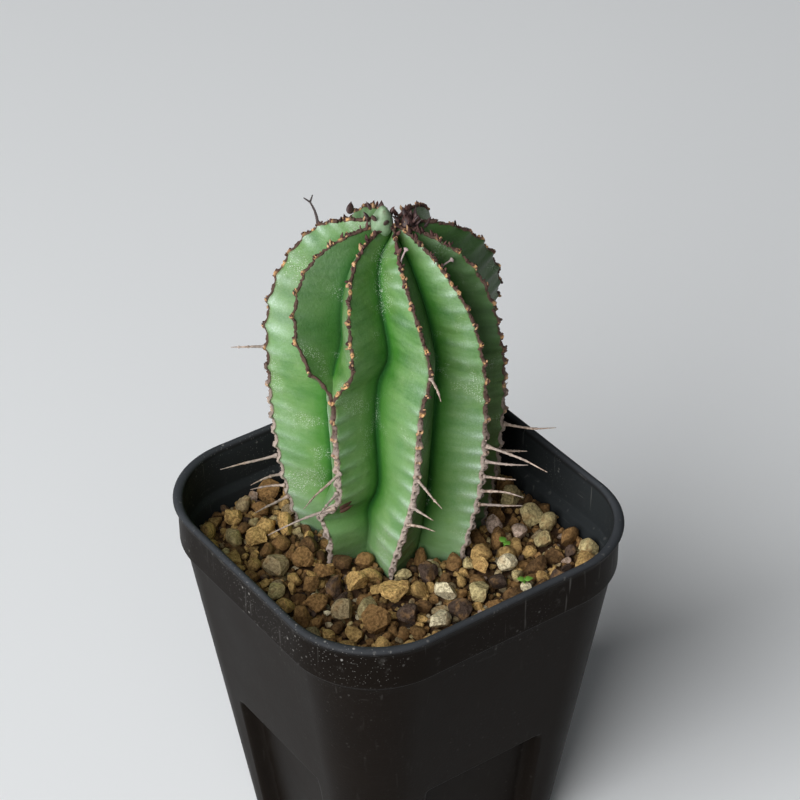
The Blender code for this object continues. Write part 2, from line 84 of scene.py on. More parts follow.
def skin(name, grid, wrap_rows=False, start=None, end=None):
    """Mesh over a grid of points (rows, columns, 3), closed round its columns.

    The rows may join up as well, or else each end closes on a pole point.
    """
    rows, columns = grid.shape[:2]
    index = np.arange(rows * columns).reshape(rows, columns)
    near = index if wrap_rows else index[:-1]
    far = np.roll(index, -1, axis=0) if wrap_rows else index[1:]
    quads = np.stack([near, np.roll(near, -1, 1), np.roll(far, -1, 1), far], -1).reshape(-1, 4)
    points = grid.reshape(-1, 3)
    fans = []
    for ring, pole in ((index[0][::-1], start), (index[-1], end)):
        if pole is not None:
            tip = np.full(columns, len(points))
            points = np.vstack([points, pole])
            fans.append(np.stack([ring, np.roll(ring, -1), tip], -1))
    fans = np.vstack(fans) if fans else np.zeros((0, 3), int)
    return mesh_object(name, points, quads, fans)


def mesh_object(name, points, quads, triangles):
    """Smooth-shaded object at the origin from arrays of points, quads and triangles."""
    mesh = bpy.data.meshes.new(name)
    mesh.vertices.add(len(points))
    mesh.vertices.foreach_set("co", np.asarray(points, np.float32).ravel())
    mesh.loops.add(quads.size + triangles.size)
    mesh.loops.foreach_set("vertex_index", np.concatenate([quads.ravel(), triangles.ravel()]))
    sizes = np.concatenate([np.full(len(quads), 4), np.full(len(triangles), 3)])
    mesh.polygons.add(len(sizes))
    mesh.polygons.foreach_set("loop_start", np.concatenate([[0], np.cumsum(sizes)[:-1]]))
    mesh.polygons.foreach_set("use_smooth", np.ones(len(sizes), bool))
    mesh.update(calc_edges=True)
    mesh.validate()
    made = bpy.data.objects.new(name, mesh)
    bpy.context.scene.collection.objects.link(made)
    return made


def place_on_root(piece, slot, finish, *nodes):
    """Give a piece its material and the root body, and hide the CAD nodes it stands for; the slot is not
    used.
    """
    piece.data.materials.clear()
    piece.data.materials.append(finish.material)
    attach(piece, "root")
    if nodes:
        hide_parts(*nodes)


class Wire:
    """One output socket of a material's nodes, on which arithmetic can be written."""

    def __init__(self, finish, socket):
        self.finish = finish
        self.socket = socket

    def maths(self, operation, first, second):
        """One Math node over two wires or numbers."""
        return self.finish.node("ShaderNodeMath", {"operation": operation}, {0: first, 1: second})

    def __add__(self, other):
        return self.maths("ADD", self, other)

    def __sub__(self, other):
        return self.maths("SUBTRACT", self, other)

    def __mul__(self, other):
        return self.maths("MULTIPLY", self, other)

    def __rsub__(self, other):
        return self.maths("SUBTRACT", other, self)

    __radd__ = __add__
    __rmul__ = __mul__


class Finish:
    """A material on one Principled shader; steady values are set on its own sockets."""

    def __init__(self, name, **steady):
        self.material = bpy.data.materials.new(name)
        self.material.use_nodes = True
        self.tree = self.material.node_tree
        self.shader = self.tree.nodes["Principled BSDF"]
        for socket, value in steady.items():
            self.shader.inputs[socket.replace("_", " ")].default_value = value

    def node(self, kind, settings, inputs, output=0):
        """Add one node: its settings first, then the values or links of its sockets."""
        made = self.tree.nodes.new(kind)
        for key, value in settings.items():
            if key == "stops":
                ramp = made.color_ramp
                while len(ramp.elements) < len(value):
                    ramp.elements.new(0.5)
                for stop, (position, colour) in zip(ramp.elements, value):
                    stop.position = position
                    stop.color = (*colour, 1.0)
            else:
                setattr(made, key, value)
        for key, value in inputs.items():
            if isinstance(value, Wire):
                self.tree.links.new(value.socket, made.inputs[key])
            elif isinstance(value, tuple) and len(made.inputs[key].default_value) == 4:
                made.inputs[key].default_value = (*value[:3], 1.0)
            else:
                made.inputs[key].default_value = value
        return Wire(self, made.outputs[output])

    def drive(self, socket, wire):
        """Let a wire set one of the shader's sockets."""
        self.tree.links.new(wire.socket, self.shader.inputs[socket])

    def here(self):
        """Place on the piece, in metres in the shared frame."""
        return self.node("ShaderNodeTexCoord", {}, {}, "Object")

    def stretched(self, scale):
        """Place times a scale of its own along each axis, for drawn-out patterns."""
        return self.node("ShaderNodeMapping", {}, {"Vector": self.here(), "Scale": scale})

    def noise(self, scale, detail=3.0, rough=0.55, at=None):
        """Fractal noise, its features about 1 / scale metres apart."""
        inputs = {"Vector": at or self.here(), "Scale": scale, "Detail": detail, "Roughness": rough}
        return self.node("ShaderNodeTexNoise", {}, inputs)

    def cells(self, scale):
        """Distance to the nearest of random points about 1 / scale metres apart."""
        return self.node("ShaderNodeTexVoronoi", {}, {"Vector": self.here(), "Scale": scale})

    def band(self, wire, low, high):
        """Smoothstep of a wire between two values."""
        inputs = {"Value": wire, "From Min": low, "From Max": high}
        return self.node("ShaderNodeMapRange", {"interpolation_type": "SMOOTHSTEP"}, inputs)

    def blend(self, share, first, second, kind="MIX"):
        """Colour mix: `first` where share is 0 and `second` where it is 1."""
        settings = {"data_type": "RGBA", "blend_type": kind}
        return self.node("ShaderNodeMix", settings, {0: share, 6: first, 7: second}, 2)

    def own(self, name, output="Fac"):
        """Value or colour that was painted on the piece's points."""
        return self.node("ShaderNodeAttribute", {"attribute_name": name}, {}, output)

    def relief(self, height, distance):
        """Bump from a height wire, `distance` metres deep, onto the shader's normal."""
        self.drive("Normal", self.node("ShaderNodeBump", {}, {"Height": height, "Distance": distance}))


def square_ring(half, corner, sink, panel):
    """Columns round a rounded square for arrays of rows; returns x, y and side distance.

    Each side runs straight, then turns a quarter circle; a sunk panel moves the middle of
    the side inwards by `sink`, with a smooth ramp at |distance| = panel.
    """
    straight = np.linspace(-1, 1, SIDE_COLUMNS + 1)
    turn = np.linspace(0, math.pi / 2, CORNER_COLUMNS + 1)[1:-1]
    share = np.concatenate([straight, np.ones(len(turn))])
    angle = np.concatenate([np.zeros(len(straight)), turn])
    flat = (half - corner)[:, None]
    side = share * flat
    drop = sink[:, None] * ease(PANEL_RAMP, 0.0, np.abs(side) - panel[:, None])
    drop = drop * (angle == 0)
    x = side + corner[:, None] * np.sin(angle)
    y = -flat - corner[:, None] * np.cos(angle) + drop
    quarters = [(x, y), (-y, x), (-x, -y), (y, -x)]
    ring_x = np.concatenate([q[0] for q in quarters], axis=1)
    ring_y = np.concatenate([q[1] for q in quarters], axis=1)
    side = np.concatenate([np.where(angle == 0, side, 1.0)] * 4, axis=1)
    return ring_x, ring_y, side


def body_half(z):
    """Half width of the body at a height: a straight taper from foot to shoulder."""
    return FOOT_HALF + (SHOULDER_HALF - FOOT_HALF) * np.clip(z / COLLAR_FOOT, 0, 1)


def body_corner(z):
    """Corner radius of the body at a height, by the same straight taper."""
    return FOOT_CORNER + (SHOULDER_CORNER - FOOT_CORNER) * np.clip(z / COLLAR_FOOT, 0, 1)


def pot_profile():
    """Rows of the wall as (z, half width, corner radius, wall offset).

    Up the outside, over the bead and down the inside; the collar stands out from the body
    by a smooth step.
    """
    body = np.concatenate([[0.0, 0.25, 0.7], np.arange(1.5, 40, 1.6),
                           np.arange(40.2, 45.5, 0.3), np.arange(46.5, 85.0, 2.0)]) * MM
    step = np.linspace(-1.0, 0.9, 9) * MM + COLLAR_FOOT
    collar = np.linspace(1.4 * MM, COLLAR_HEIGHT - 2 * BEAD, 8) + COLLAR_FOOT
    z_out = np.concatenate([body, step, collar])
    rise = ease(COLLAR_FOOT - 0.9 * MM, COLLAR_FOOT + 0.8 * MM, z_out)
    half_out = body_half(z_out) * (1 - rise) + COLLAR_HALF * rise
    corner_out = body_corner(z_out) * (1 - rise) + RIM_CORNER * rise
    roll = np.radians(np.linspace(-80, 165, 18))
    z_bead = POT_HEIGHT - BEAD + BEAD * np.sin(roll)
    half_bead = RIM_HALF - BEAD + BEAD * np.cos(roll)
    z_in = z_out[::-1]
    half_in = half_out[::-1] - WALL
    corner_in = corner_out[::-1] - WALL
    z = np.concatenate([z_out, z_bead, z_in])
    half = np.concatenate([half_out, half_bead, half_in])
    corner = np.concatenate([corner_out, np.full(len(roll), RIM_CORNER), corner_in])
    inside = np.concatenate([np.zeros(len(z_out) + len(roll)), np.full(len(z_in), WALL)])
    return z, half, corner, inside


def pot_wall():
    """The wall as rows of the profile times columns round the rounded square."""
    z, half, corner, inside = pot_profile()
    sink = PANEL_DEPTH * ease(PANEL_TOP + inside, PANEL_TOP - PANEL_LEDGE + inside / 2, z)
    x, y, side = square_ring(half, corner, sink, PANEL_HALF + inside)
    lift = ARCH * ease(PANEL_HALF + 0.3 * MM, PANEL_HALF - 0.9 * MM, np.abs(side))
    near_foot = np.clip(1 - z / (5 * MM), 0, 1)[:, None]
    height = z[:, None] + lift * near_foot
    edge = FOOT_ROUND * ease(0.7 * MM, 0.0, z) * (inside == 0)
    shrink = (1 - edge / FOOT_HALF)[:, None]
    wall = skin("pot_wall", np.stack([x * shrink, y * shrink, height], -1), wrap_rows=True)
    paint(wall, "inside", np.broadcast_to(inside[:, None] > 0, x.shape), 0.0)
    return wall


def paint(piece, name, values, poles):
    """Store one number per grid point; the pole points after them get a value of their own."""
    flat = np.full(len(piece.data.vertices), poles, np.float32)
    flat[:values.size] = values.ravel()
    piece.data.attributes.new(name, "FLOAT", "POINT").data.foreach_set("value", flat)


def pot_floor():
    """Plate on rings from the middle out to the wall, lower in the four corner feet."""
    shares = np.concatenate([np.linspace(0.02, 1, 40), np.linspace(1, 0.02, 40)])
    level = ARCH * np.ones(len(shares))
    half = body_half(level) - WALL / 2
    x, y, _ = square_ring(half, body_corner(level) - WALL / 2, np.full(len(shares), PANEL_DEPTH),
                          np.full(len(shares), PANEL_HALF + WALL / 2))
    x = x * shares[:, None]
    y = y * shares[:, None]
    foot = PANEL_HALF
    pad = ease(foot, foot + 0.8 * MM, np.abs(x)) * ease(foot, foot + 0.8 * MM, np.abs(y))
    z = ARCH * (1 - pad) + 0.02 * MM
    z[len(shares) // 2:] += FLOOR_PLATE
    grid = np.stack([x, y, z], -1)[:, ::3]
    under = np.array([0, 0, ARCH])
    plate = skin("pot_floor", grid, start=under, end=under + [0, 0, FLOOR_PLATE])
    for across, along in DRAIN_PLACES:
        bpy.ops.mesh.primitive_cylinder_add(
            vertices=40, radius=DRAIN_RADIUS, depth=8 * MM,
            location=(across * DRAIN_SPACING, along * DRAIN_SPACING, ARCH))
        drill = bpy.context.object
        hole = plate.modifiers.new("drain", "BOOLEAN")
        hole.object = drill
        hole.solver = "MANIFOLD"
        finished = bpy.data.meshes.new_from_object(
            plate.evaluated_get(bpy.context.evaluated_depsgraph_get()))
        plate.modifiers.clear()
        plate.data = finished
        bpy.data.objects.remove(drill)
    plate.data.shade_smooth()
    plate.data.set_sharp_from_angle(angle=math.radians(40))
    return plate


# The warm specular tint stands in for the warm reflection of a wooden table: a painted reflection.
black_plastic = Finish("black_plastic", Specular_IOR_Level=0.036,
                       Specular_Tint=(1.0, 0.90, 0.82, 1.0))
mottle = black_plastic.noise(45, 4)
dust = black_plastic.band(black_plastic.noise(260, 6, 0.7), 0.58, 0.80)
grime = black_plastic.band(black_plastic.noise(38, 3), 0.40, 0.60)
specks = black_plastic.band(black_plastic.cells(380), 0.16, 0.07)
grit_dots = black_plastic.band(black_plastic.cells(1300), 0.22, 0.12)
scratch_at = black_plastic.stretched((700, 700, 60))
scratches = black_plastic.band(black_plastic.noise(1, 2, 0.4, scratch_at), 0.66, 0.74)
scuff_at = black_plastic.stretched((90, 90, 900))
scuffs = black_plastic.band(black_plastic.noise(1, 3, 0.6, scuff_at), 0.66, 0.76)
high = black_plastic.node("ShaderNodeSeparateXYZ", {}, {0: black_plastic.here()}, 2)
near_rim = black_plastic.band(high, 78 * MM, 97 * MM)
lip_wear_and_highlight = black_plastic.band(high, 98.6 * MM, 99.9 * MM)
worn = (specks + grit_dots * 0.6) * grime * 0.75 + dust * 0.16 + (scratches + scuffs) * 0.22
worn = worn * (near_rim * 0.92 + 0.08)
# The black's warm brown tinge is partly the plastic's own colour, partly a painted warm reflection of a
# wooden table.
tone = black_plastic.blend(mottle, (0.0036, 0.0026, 0.0019), (0.0088, 0.0064, 0.0048))
# The lip band is painted a light bluish grey: partly wear, partly a painted highlight along the rim's edge.
tone = black_plastic.blend(lip_wear_and_highlight * (mottle * 0.6 + 0.35), tone, (0.060, 0.066, 0.074))
# The inside of the wall is painted a lighter bluish grey: partly a painted reflection of the lamp, partly
# dust.
tone = black_plastic.blend(black_plastic.own("inside") * 0.80, tone, (0.026, 0.030, 0.032))
black_plastic.drive("Base Color", black_plastic.blend(worn * 0.75, tone, (0.30, 0.29, 0.27)))
black_plastic.drive("Roughness", mottle * 0.16 + 0.34 + worn * 0.25)
black_plastic.relief(black_plastic.noise(1500, 3) * 0.5 + black_plastic.noise(60, 2) * 1.5, 0.05 * MM)
place_on_root(pot_wall(), "pot_plastic", black_plastic, "pot")
place_on_root(pot_floor(), "pot_plastic", black_plastic)

# ---- Stem ------------------------------------------------------------------------
# One grown column of green flesh with eight ribs, of which one forks into two above half
# height.  Its crests bear a tooth every few millimetres, where a leaf and a flower stalk
# stood, and from each tooth a low swelling runs out across the face as a soft ripple.
STEM_X, STEM_Y = 8.04 * MM, 12.04 * MM
NECK = 85 * MM
STEM_RISE = 84.5 * MM
WAIST = NECK + 55 * MM
CROWN = NECK + STEM_RISE
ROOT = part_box("euphorbia_stem")[0][2]
WAIST_RADIUS = 28.8 * MM
NECK_RADIUS = 23.4 * MM
DOME_POWER = 2.15
SIDE_POWER = 2.5
FURROW_SHARE = 0.62
FORK_FURROW_SHARE = 0.60
CROWN_SINK = 3.0 * MM
FORK_OPEN = math.radians(32)
CREST_GAP = math.radians(1.6)
TOOTH_SPACING = 4.9 * MM
TOOTH_HEIGHT = 0.80 * MM
RIPPLE_HEIGHT = 0.62 * MM
SWELL_HEIGHT = 0.75 * MM
FACE_BULGE = 0.70 * MM
CREST_ROUNDING = 0.55 * MM
JOG_TURN = math.radians(10)
JOG_HEIGHT, JOG_REACH = 99 * MM, 5 * MM
CREST_LEVELS = (0.0, 0.3, 0.615, 0.72, 0.83, 0.925, 1.0)
# Azimuths of the crests in degrees at each of CREST_LEVELS, shares of the stem's rise.
CRESTS = {
    "side": (147, 149, 149, 144, 130, 117, 125),
    "left": (190, 205, 204, 184, 170, 160, 158),
    "fork": (190, 205, 206, 215, 211, 203, 190),
    "front": (232, 244, 248, 252, 249, 244, 239),
    "right": (279, 284, 283, 281, 280, 277, 275),
    "shade": (318, 317, 309, 303, 304, 307, 302),
    "back_right": (364, 362, 357, 352, 349, 345, 340),
    "back": (412, 410, 406, 402, 397, 392, 390),
    "back_left": (460, 460, 457, 452, 446, 438, 436),
}
CREST_REACH = {"side": 1.06, "shade": 0.94}
# How pale each flank is painted before and after each crest, 0.5 elsewhere: partly wax bloom, partly painted
# light on flanks facing the lamp and painted shade on flanks facing away.
WAX_AND_LIGHT = {"side": (0.5, 0.92), "left": (0.8, 0.21), "fork": (0.60, 0.30), "front": (0.72, 0.10),
       "right": (1.0, 0.10), "shade": (0.10, 0.10), "back_right": (0.12, 0.30)}
FURROW_SKEW = {"left": math.radians(-7), "fork": math.radians(-4)}
STEM_ROWS = 338
FACE_COLUMNS = 16


def smooth_table(at, values, x):
    """Cubic Hermite curve through the points (at, values), held level past its ends.

    The slope at a point is at most twice the gentler of the two beside it, and none where
    they differ in sign, so that the curve doesn't swing past its points.
    """
    at = np.asarray(at, float)
    values = np.asarray(values, float)
    before, after = (np.diff(values) / np.diff(at))[:-1], (np.diff(values) / np.diff(at))[1:]
    most = np.where(before * after > 0, 2 * np.minimum(np.abs(before), np.abs(after)), 0.0)
    slope = np.gradient(values, at)
    slope[1:-1] = np.clip(slope[1:-1], -most, most)
    x = np.clip(x, at[0], at[-1])
    low = np.clip(np.searchsorted(at, x) - 1, 0, len(at) - 2)
    span = at[low + 1] - at[low]
    t = (x - at[low]) / span
    start = (1 + 2 * t) * (1 - t) ** 2 * values[low] + t * (1 - t) ** 2 * span * slope[low]
    end = t * t * (3 - 2 * t) * values[low + 1] + t * t * (t - 1) * span * slope[low + 1]
    return start + end


def crest_profile(rows):
    """Radius, height and length along the crest, evenly spaced from the root to the crown.

    A quarter ellipse underground, a side that swells to the waist by a power law, and a
    superellipse dome.
    """
    bury = np.linspace(0.12, 1, 40)[:-1] * math.pi / 2
    rise = np.linspace(0, 1, 200)[:-1]
    lean = np.linspace(0, math.radians(88.5), 200)
    power = 2 / DOME_POWER
    radius = np.concatenate([NECK_RADIUS * np.sin(bury) ** 0.8,
                             WAIST_RADIUS - (WAIST_RADIUS - NECK_RADIUS) * (1 - rise) ** SIDE_POWER,
                             WAIST_RADIUS * np.cos(lean) ** power])
    height = np.concatenate([NECK - (NECK - ROOT) * np.cos(bury), NECK + (WAIST - NECK) * rise,
                             WAIST + (CROWN - WAIST) * np.sin(lean) ** power])
    length = np.concatenate([[0], np.cumsum(np.hypot(np.diff(radius), np.diff(height)))])
    even = np.linspace(0, length[-1], rows)
    return np.interp(even, length, radius), np.interp(even, length, height), even


def crest_azimuth(rib, height):
    """Azimuth of a rib's crest; the left one jogs outwards just over its base."""
    level = (height - NECK) / STEM_RISE
    azimuth = np.radians(smooth_table(CREST_LEVELS, CRESTS[rib], level))
    if rib in ("left", "fork"):
        azimuth = azimuth - JOG_TURN * np.exp(-((height - JOG_HEIGHT) / JOG_REACH) ** 2)
    if rib == "fork":
        azimuth = np.maximum(azimuth, crest_azimuth("left", height) + CREST_GAP)
    return azimuth


def tooth_phase(rib, length):
    """Turns of the tooth pattern along a crest; the spacing drifts a little."""
    shift = 0.0 if rib in ("left", "fork") else 1.7 * list(CRESTS).index(rib)
    return length / TOOTH_SPACING + 0.20 * np.sin(length / (8 * MM) + shift) + shift


def tooth(phase):
    """Rounded tooth, 1 at each whole turn and 0 between, steeper on its upper flank."""
    turn = 2 * math.pi * phase
    return (0.5 + 0.5 * np.cos(turn + 0.5 * np.sin(turn))) ** 1.25


def fork_opened(height):
    """How far the fork has opened, from 0 where its two crests run together to 1."""
    gap = crest_azimuth("fork", height) - crest_azimuth("left", height)
    return np.clip((gap - CREST_GAP) / FORK_OPEN, 0, 1)


def face_points(crest, furrow, t, depth, near_crest, rib, length, apart=1.0):
    """Points across one half of a rib's face, with the ripple's height at each of them.

    Straight from crest to furrow by the share t, then moved out by a bulge mid-way, in by
    the crest's rounding, and out and in by the tooth and the ripples.
    """
    ends = [np.stack([reach * np.cos(azimuth), reach * np.sin(azimuth), level], -1)
            for azimuth, reach, level in (crest, furrow)]
    place = ends[0][:, None] * (1 - t[..., None]) + ends[1][:, None] * t[..., None]
    flat = np.hypot(place[..., 0], place[..., 1])
    full = (depth / (1 - FURROW_SHARE))[:, None]
    fade = np.clip(flat / (9 * MM), 0, 1) * ease(NECK - 3 * MM, NECK + 2 * MM, crest[2])[:, None]
    phase = tooth_phase(rib, length)[:, None]
    order = list(CRESTS).index(rib)
    run = length[:, None] / MM
    strong = 0.62 + 0.38 * np.sin(run / 12.0 + 4 * near_crest + order)
    reach_in = 0.52 + 0.24 * np.sin(run / 15.0 + 2.3 * order)
    wave = tooth(phase + 0.22 * near_crest * np.sin(order + run / 31.0))
    ripple = wave * strong * np.exp(-((near_crest / reach_in) ** 2)) * ease(0.0, 0.08, near_crest)
    broad = np.sin(run / 3.9 + 5.0 * near_crest + order) * near_crest * (1 - near_crest)
    move = FACE_BULGE * 4 * t * (1 - t) * full
    move = move - CREST_ROUNDING * (1 - apart + apart * np.exp(-((near_crest / 0.05) ** 2)))
    move = move + TOOTH_HEIGHT * (tooth(phase) - 0.5) * np.exp(-near_crest / 0.10)
    move = move + RIPPLE_HEIGHT * ripple + SWELL_HEIGHT * broad
    stretch = (flat + move * fade) / flat
    place[..., 0] *= stretch
    place[..., 1] *= stretch
    return place, ripple


def stem_surface():
    """The stem as rows up the crests times columns round all ribs, two halves to a face."""
    radius, height, length = crest_profile(STEM_ROWS)
    order = list(CRESTS)
    even = np.linspace(0, 1, FACE_COLUMNS + 1)
    share = 0.65 * (0.5 - 0.5 * np.cos(math.pi * even)) + 0.35 * even
    places, across, ripples, waxes_and_light = [], [], [], []
    for here, rib in enumerate(order):
        after = order[(here + 1) % len(order)]
        first = crest_azimuth(rib, height)
        last = crest_azimuth(after, height) + (2 * math.pi if here == len(order) - 1 else 0)
        opened = fork_opened(height) if rib == "left" else np.ones(len(height))
        depth = (1 - (FORK_FURROW_SHARE if rib == "left" else FURROW_SHARE)) * opened
        middle = (first + last) / 2 + FURROW_SKEW.get(rib, 0.0) * opened
        middle = middle + math.radians(1.3) * np.sin(height / (6.5 * MM) + 2.1 * here) * opened
        sink = CROWN_SINK * np.clip((height - WAIST) / (CROWN - WAIST), 0, 1)
        furrow = (middle, radius * (1 - depth), height - sink * depth / (1 - FURROW_SHARE))
        for azimuth, name, t, flank in ((first, rib, share[:-1], 1), (last, after, share[:0:-1], 0)):
            t = np.broadcast_to(t, (len(height), FACE_COLUMNS))
            apart = np.minimum(opened * 2.5, 1.0)[:, None]
            near_crest = t * apart
            crest = (azimuth, radius * CREST_REACH.get(name, 1.0), height)
            place, ripple = face_points(crest, furrow, t, depth, near_crest, name, length, apart)
            places.append(place)
            across.append(near_crest)
            ripples.append(ripple)
            waxes_and_light.append(np.full(t.shape, WAX_AND_LIGHT.get(name, (0.5, 0.5))[flank]))
    grid = np.concatenate(places, axis=1)
    grid[..., 0] += STEM_X
    grid[..., 1] += STEM_Y
    stem = skin("stem_flesh", grid, start=np.array([STEM_X, STEM_Y, ROOT]),
                end=np.array([STEM_X, STEM_Y, CROWN - 2.2 * MM]))
    up = np.broadcast_to(((height - NECK) / STEM_RISE)[:, None], grid.shape[:2])
    paint(stem, "across", np.concatenate(across, axis=1), 1.0)
    paint(stem, "ripple", np.concatenate(ripples, axis=1), 0.0)
    paint(stem, "up", up, 1.0)
    paint(stem, "wax", np.concatenate(waxes_and_light, axis=1), 0.3)
    return stem


green_flesh = Finish("green_flesh", Specular_IOR_Level=0.38, Coat_Roughness=0.42)
across = green_flesh.own("across")
ripple = green_flesh.own("ripple")
up = green_flesh.own("up")
patches = green_flesh.band(green_flesh.noise(85, 4, 0.6), 0.36, 0.64)
fine = green_flesh.noise(1100, 5, 0.7)
banded_at = green_flesh.stretched((60, 60, 330))
bands = green_flesh.band(green_flesh.noise(1.0, 3, 0.6, banded_at), 0.35, 0.66)
flecks = green_flesh.band(green_flesh.noise(3600, 2, 0.6), 0.55, 0.64)
flecked = green_flesh.band(green_flesh.noise(85, 3), 0.52, 0.64)
# Darker green towards the top and paler towards the foot: partly the flesh's age, partly painted shade on
# the upper stem and painted light on the lower.
young_flesh_and_shade = green_flesh.blend(patches, (0.028, 0.120, 0.011), (0.074, 0.170, 0.026))
old_flesh_and_light = green_flesh.blend(patches, (0.085, 0.225, 0.045), (0.170, 0.310, 0.095))
flesh = green_flesh.blend(green_flesh.band(up, 0.85, 0.10), young_flesh_and_shade, old_flesh_and_light)
wax = green_flesh.own("wax")
# Flanks with little wax are painted a dark olive: painted shade on the flanks that face away from the lamp.
flesh = green_flesh.blend(green_flesh.band(wax, 0.20, 0.12) * 0.60, flesh, (0.040, 0.050, 0.014))
# Painted shade: the upper part of the low-wax flanks, which face away from the lamp, is painted dark green.
shaded_upper_flanks = green_flesh.band(wax, 0.40, 0.18) * green_flesh.band(up, 0.35, 0.75)
# The foot of the stem is painted paler and its furrows less dark: partly bloom on the old flesh, partly
# painted light on the foot, which the pot's rim shades.
foot_bloom_and_light = green_flesh.band(up, 0.20, 0.02)
flesh = green_flesh.blend(foot_bloom_and_light * 0.6, flesh, (0.26, 0.42, 0.21))
flesh = green_flesh.blend(bands * 0.55, flesh, (0.135, 0.275, 0.075))
# Painted shade in the furrows: the flesh is painted darker and deeper green towards each furrow's crease,
# less so at the foot.
flesh = green_flesh.blend(green_flesh.band(across, 0.60, 0.98) * (0.9 - foot_bloom_and_light * 0.7), flesh,
                          (0.026, 0.150, 0.007))
flesh = green_flesh.blend(green_flesh.band(across, 0.86, 0.99) * (1 - foot_bloom_and_light * 0.8), flesh,
                          (0.004, 0.075, 0.002))
waxy = green_flesh.band(green_flesh.noise(48, 5, 0.65), 0.34, 0.60)
# The pale bloom is strongest on the ripples and on the flanks facing the lamp: partly wax, partly painted
# highlights on the ripples and painted light on the lit flanks.
bloom_and_highlight = (ripple * 0.85 + 0.16) * green_flesh.band(across, 0.95, 0.25) * wax * 1.25
bloom_and_highlight = bloom_and_highlight * (waxy * 0.80 + 0.20)
grainy = green_flesh.band(green_flesh.noise(2300, 3, 0.7), 0.44, 0.60)
flesh = green_flesh.blend(bloom_and_highlight * (grainy * 0.45 + 0.72) + fine * 0.10 - 0.05, flesh, (0.430, 0.555, 0.440))
# Painted shade on the upper flanks that face away from the lamp.
flesh = green_flesh.blend(shaded_upper_flanks * 0.62, flesh, (0.010, 0.055, 0.005))
flesh = green_flesh.blend(flecks * flecked * (wax * 0.5 + 0.5) * 0.75, flesh, (0.60, 0.68, 0.56))
stained = green_flesh.band(across + (fine - 0.5) * 0.10, 0.15, 0.04)
flesh = green_flesh.blend(stained * 0.60, flesh, (0.075, 0.070, 0.024))
edge = green_flesh.band(across + (fine - 0.5) * 0.04, 0.060, 0.020)
cork = green_flesh.blend(green_flesh.band(up, 0.34, 0.62), (0.24, 0.17, 0.13), (0.050, 0.028, 0.020))
green_flesh.drive("Base Color", green_flesh.blend(edge, flesh, cork))
creased = green_flesh.band(across, 0.82, 0.97)
green_flesh.drive("Roughness", 0.36 + fine * 0.20 + (edge + creased) * 0.35)
green_flesh.drive("Coat Weight", (1 - edge) * (1 - creased) * 0.16)
green_flesh.relief(fine * 0.8 + flecks * flecked * 0.3 + green_flesh.noise(240, 4, 0.6) * 1.6, 0.16 * MM)
place_on_root(stem_surface(), "stem_skin", green_flesh, "euphorbia_stem")

# ---- Cork along the crests -------------------------------------------------------
# Where each leaf and flower stalk fell off, the crest healed over with cork.  The scars
# run together into one narrow ribbon: grey-pink with hollow rings on the old growth, dark
# brown with tan tips near the crown.
OLD_CORK_HALF, YOUNG_CORK_LOSS = 0.88, 0.42
CORK_ROWS = 620
CORK_COLUMNS = 20
RIDGE_STEPS = 3000


def unit(ways):
    """Vectors made one long."""
    return ways / np.linalg.norm(ways, axis=-1, keepdims=True)


def ridge(rib, rows):
    """The crest's line on the stem's surface, with its outward, sideways and along ways."""
    radius, height, length = crest_profile(rows)
    azimuth = crest_azimuth(rib, height)
    crest = (azimuth, radius * CREST_REACH.get(rib, 1.0), height)
    zero = np.zeros((rows, 1))
    line = face_points(crest, crest, zero, np.zeros(rows), zero, rib, length)[0][:, 0]
    if rib == "left":
        turn = (1 - np.minimum(fork_opened(height) * 8, 1)) * CREST_GAP / 2
        line = np.stack([line[:, 0] * np.cos(turn) - line[:, 1] * np.sin(turn),
                         line[:, 0] * np.sin(turn) + line[:, 1] * np.cos(turn), line[:, 2]], -1)
    axis = np.stack([radius * np.cos(azimuth), radius * np.sin(azimuth), height], -1)
    along = unit(np.gradient(axis, axis=0))
    out = np.stack([np.cos(azimuth), np.sin(azimuth), np.zeros(rows)], -1)
    out = unit(out - along * (out * along).sum(1, keepdims=True))
    line = line + [STEM_X, STEM_Y, 0]
    seen = (height > NECK - 2 * MM) & (radius > 1.6 * MM)
    if rib == "fork":
        seen &= fork_opened(height) > 0.015
    level = (height - NECK) / STEM_RISE
    return [part[seen] for part in (line, out, np.cross(out, along), along, level,
                                    tooth_phase(rib, length))]


def lumps(points, source, waves, pitch):
    """Smooth noise: the mean of sines along random directions, about -1 to 1."""
    ways = source.normal(size=(waves, 3)) * pitch
    return np.sin(points @ ways.T + source.uniform(0, 6.3, waves)).mean(axis=-1) * 2


def shuffle(number):
    """Repeatable spread of values from 0 to 1, one for each whole number given."""
    return np.modf(np.abs(np.sin(number * 12.9898) * 43758.5453))[0]


def scar(phase, offset, side, ring, seed):
    """Rim and hollow of the scar nearest to each point of a grid.

    The rim is a Gaussian about the ring's radius and the hollow one about its middle.
    """
    whole = np.round(phase - offset)
    run = (phase - offset - whole) * TOOTH_SPACING
    place = (shuffle(whole + seed) - 0.5) * 0.5 * MM
    size = ring * (0.8 + 0.4 * shuffle(whole * 1.7 + seed))
    away = np.hypot(run * 0.8, side - place)
    rim = np.exp(-(((away - size) / (0.20 * MM)) ** 2))
    hollow = np.exp(-((away / (0.62 * size)) ** 2))
    return rim, hollow, shuffle(whole * 2.3 + seed)


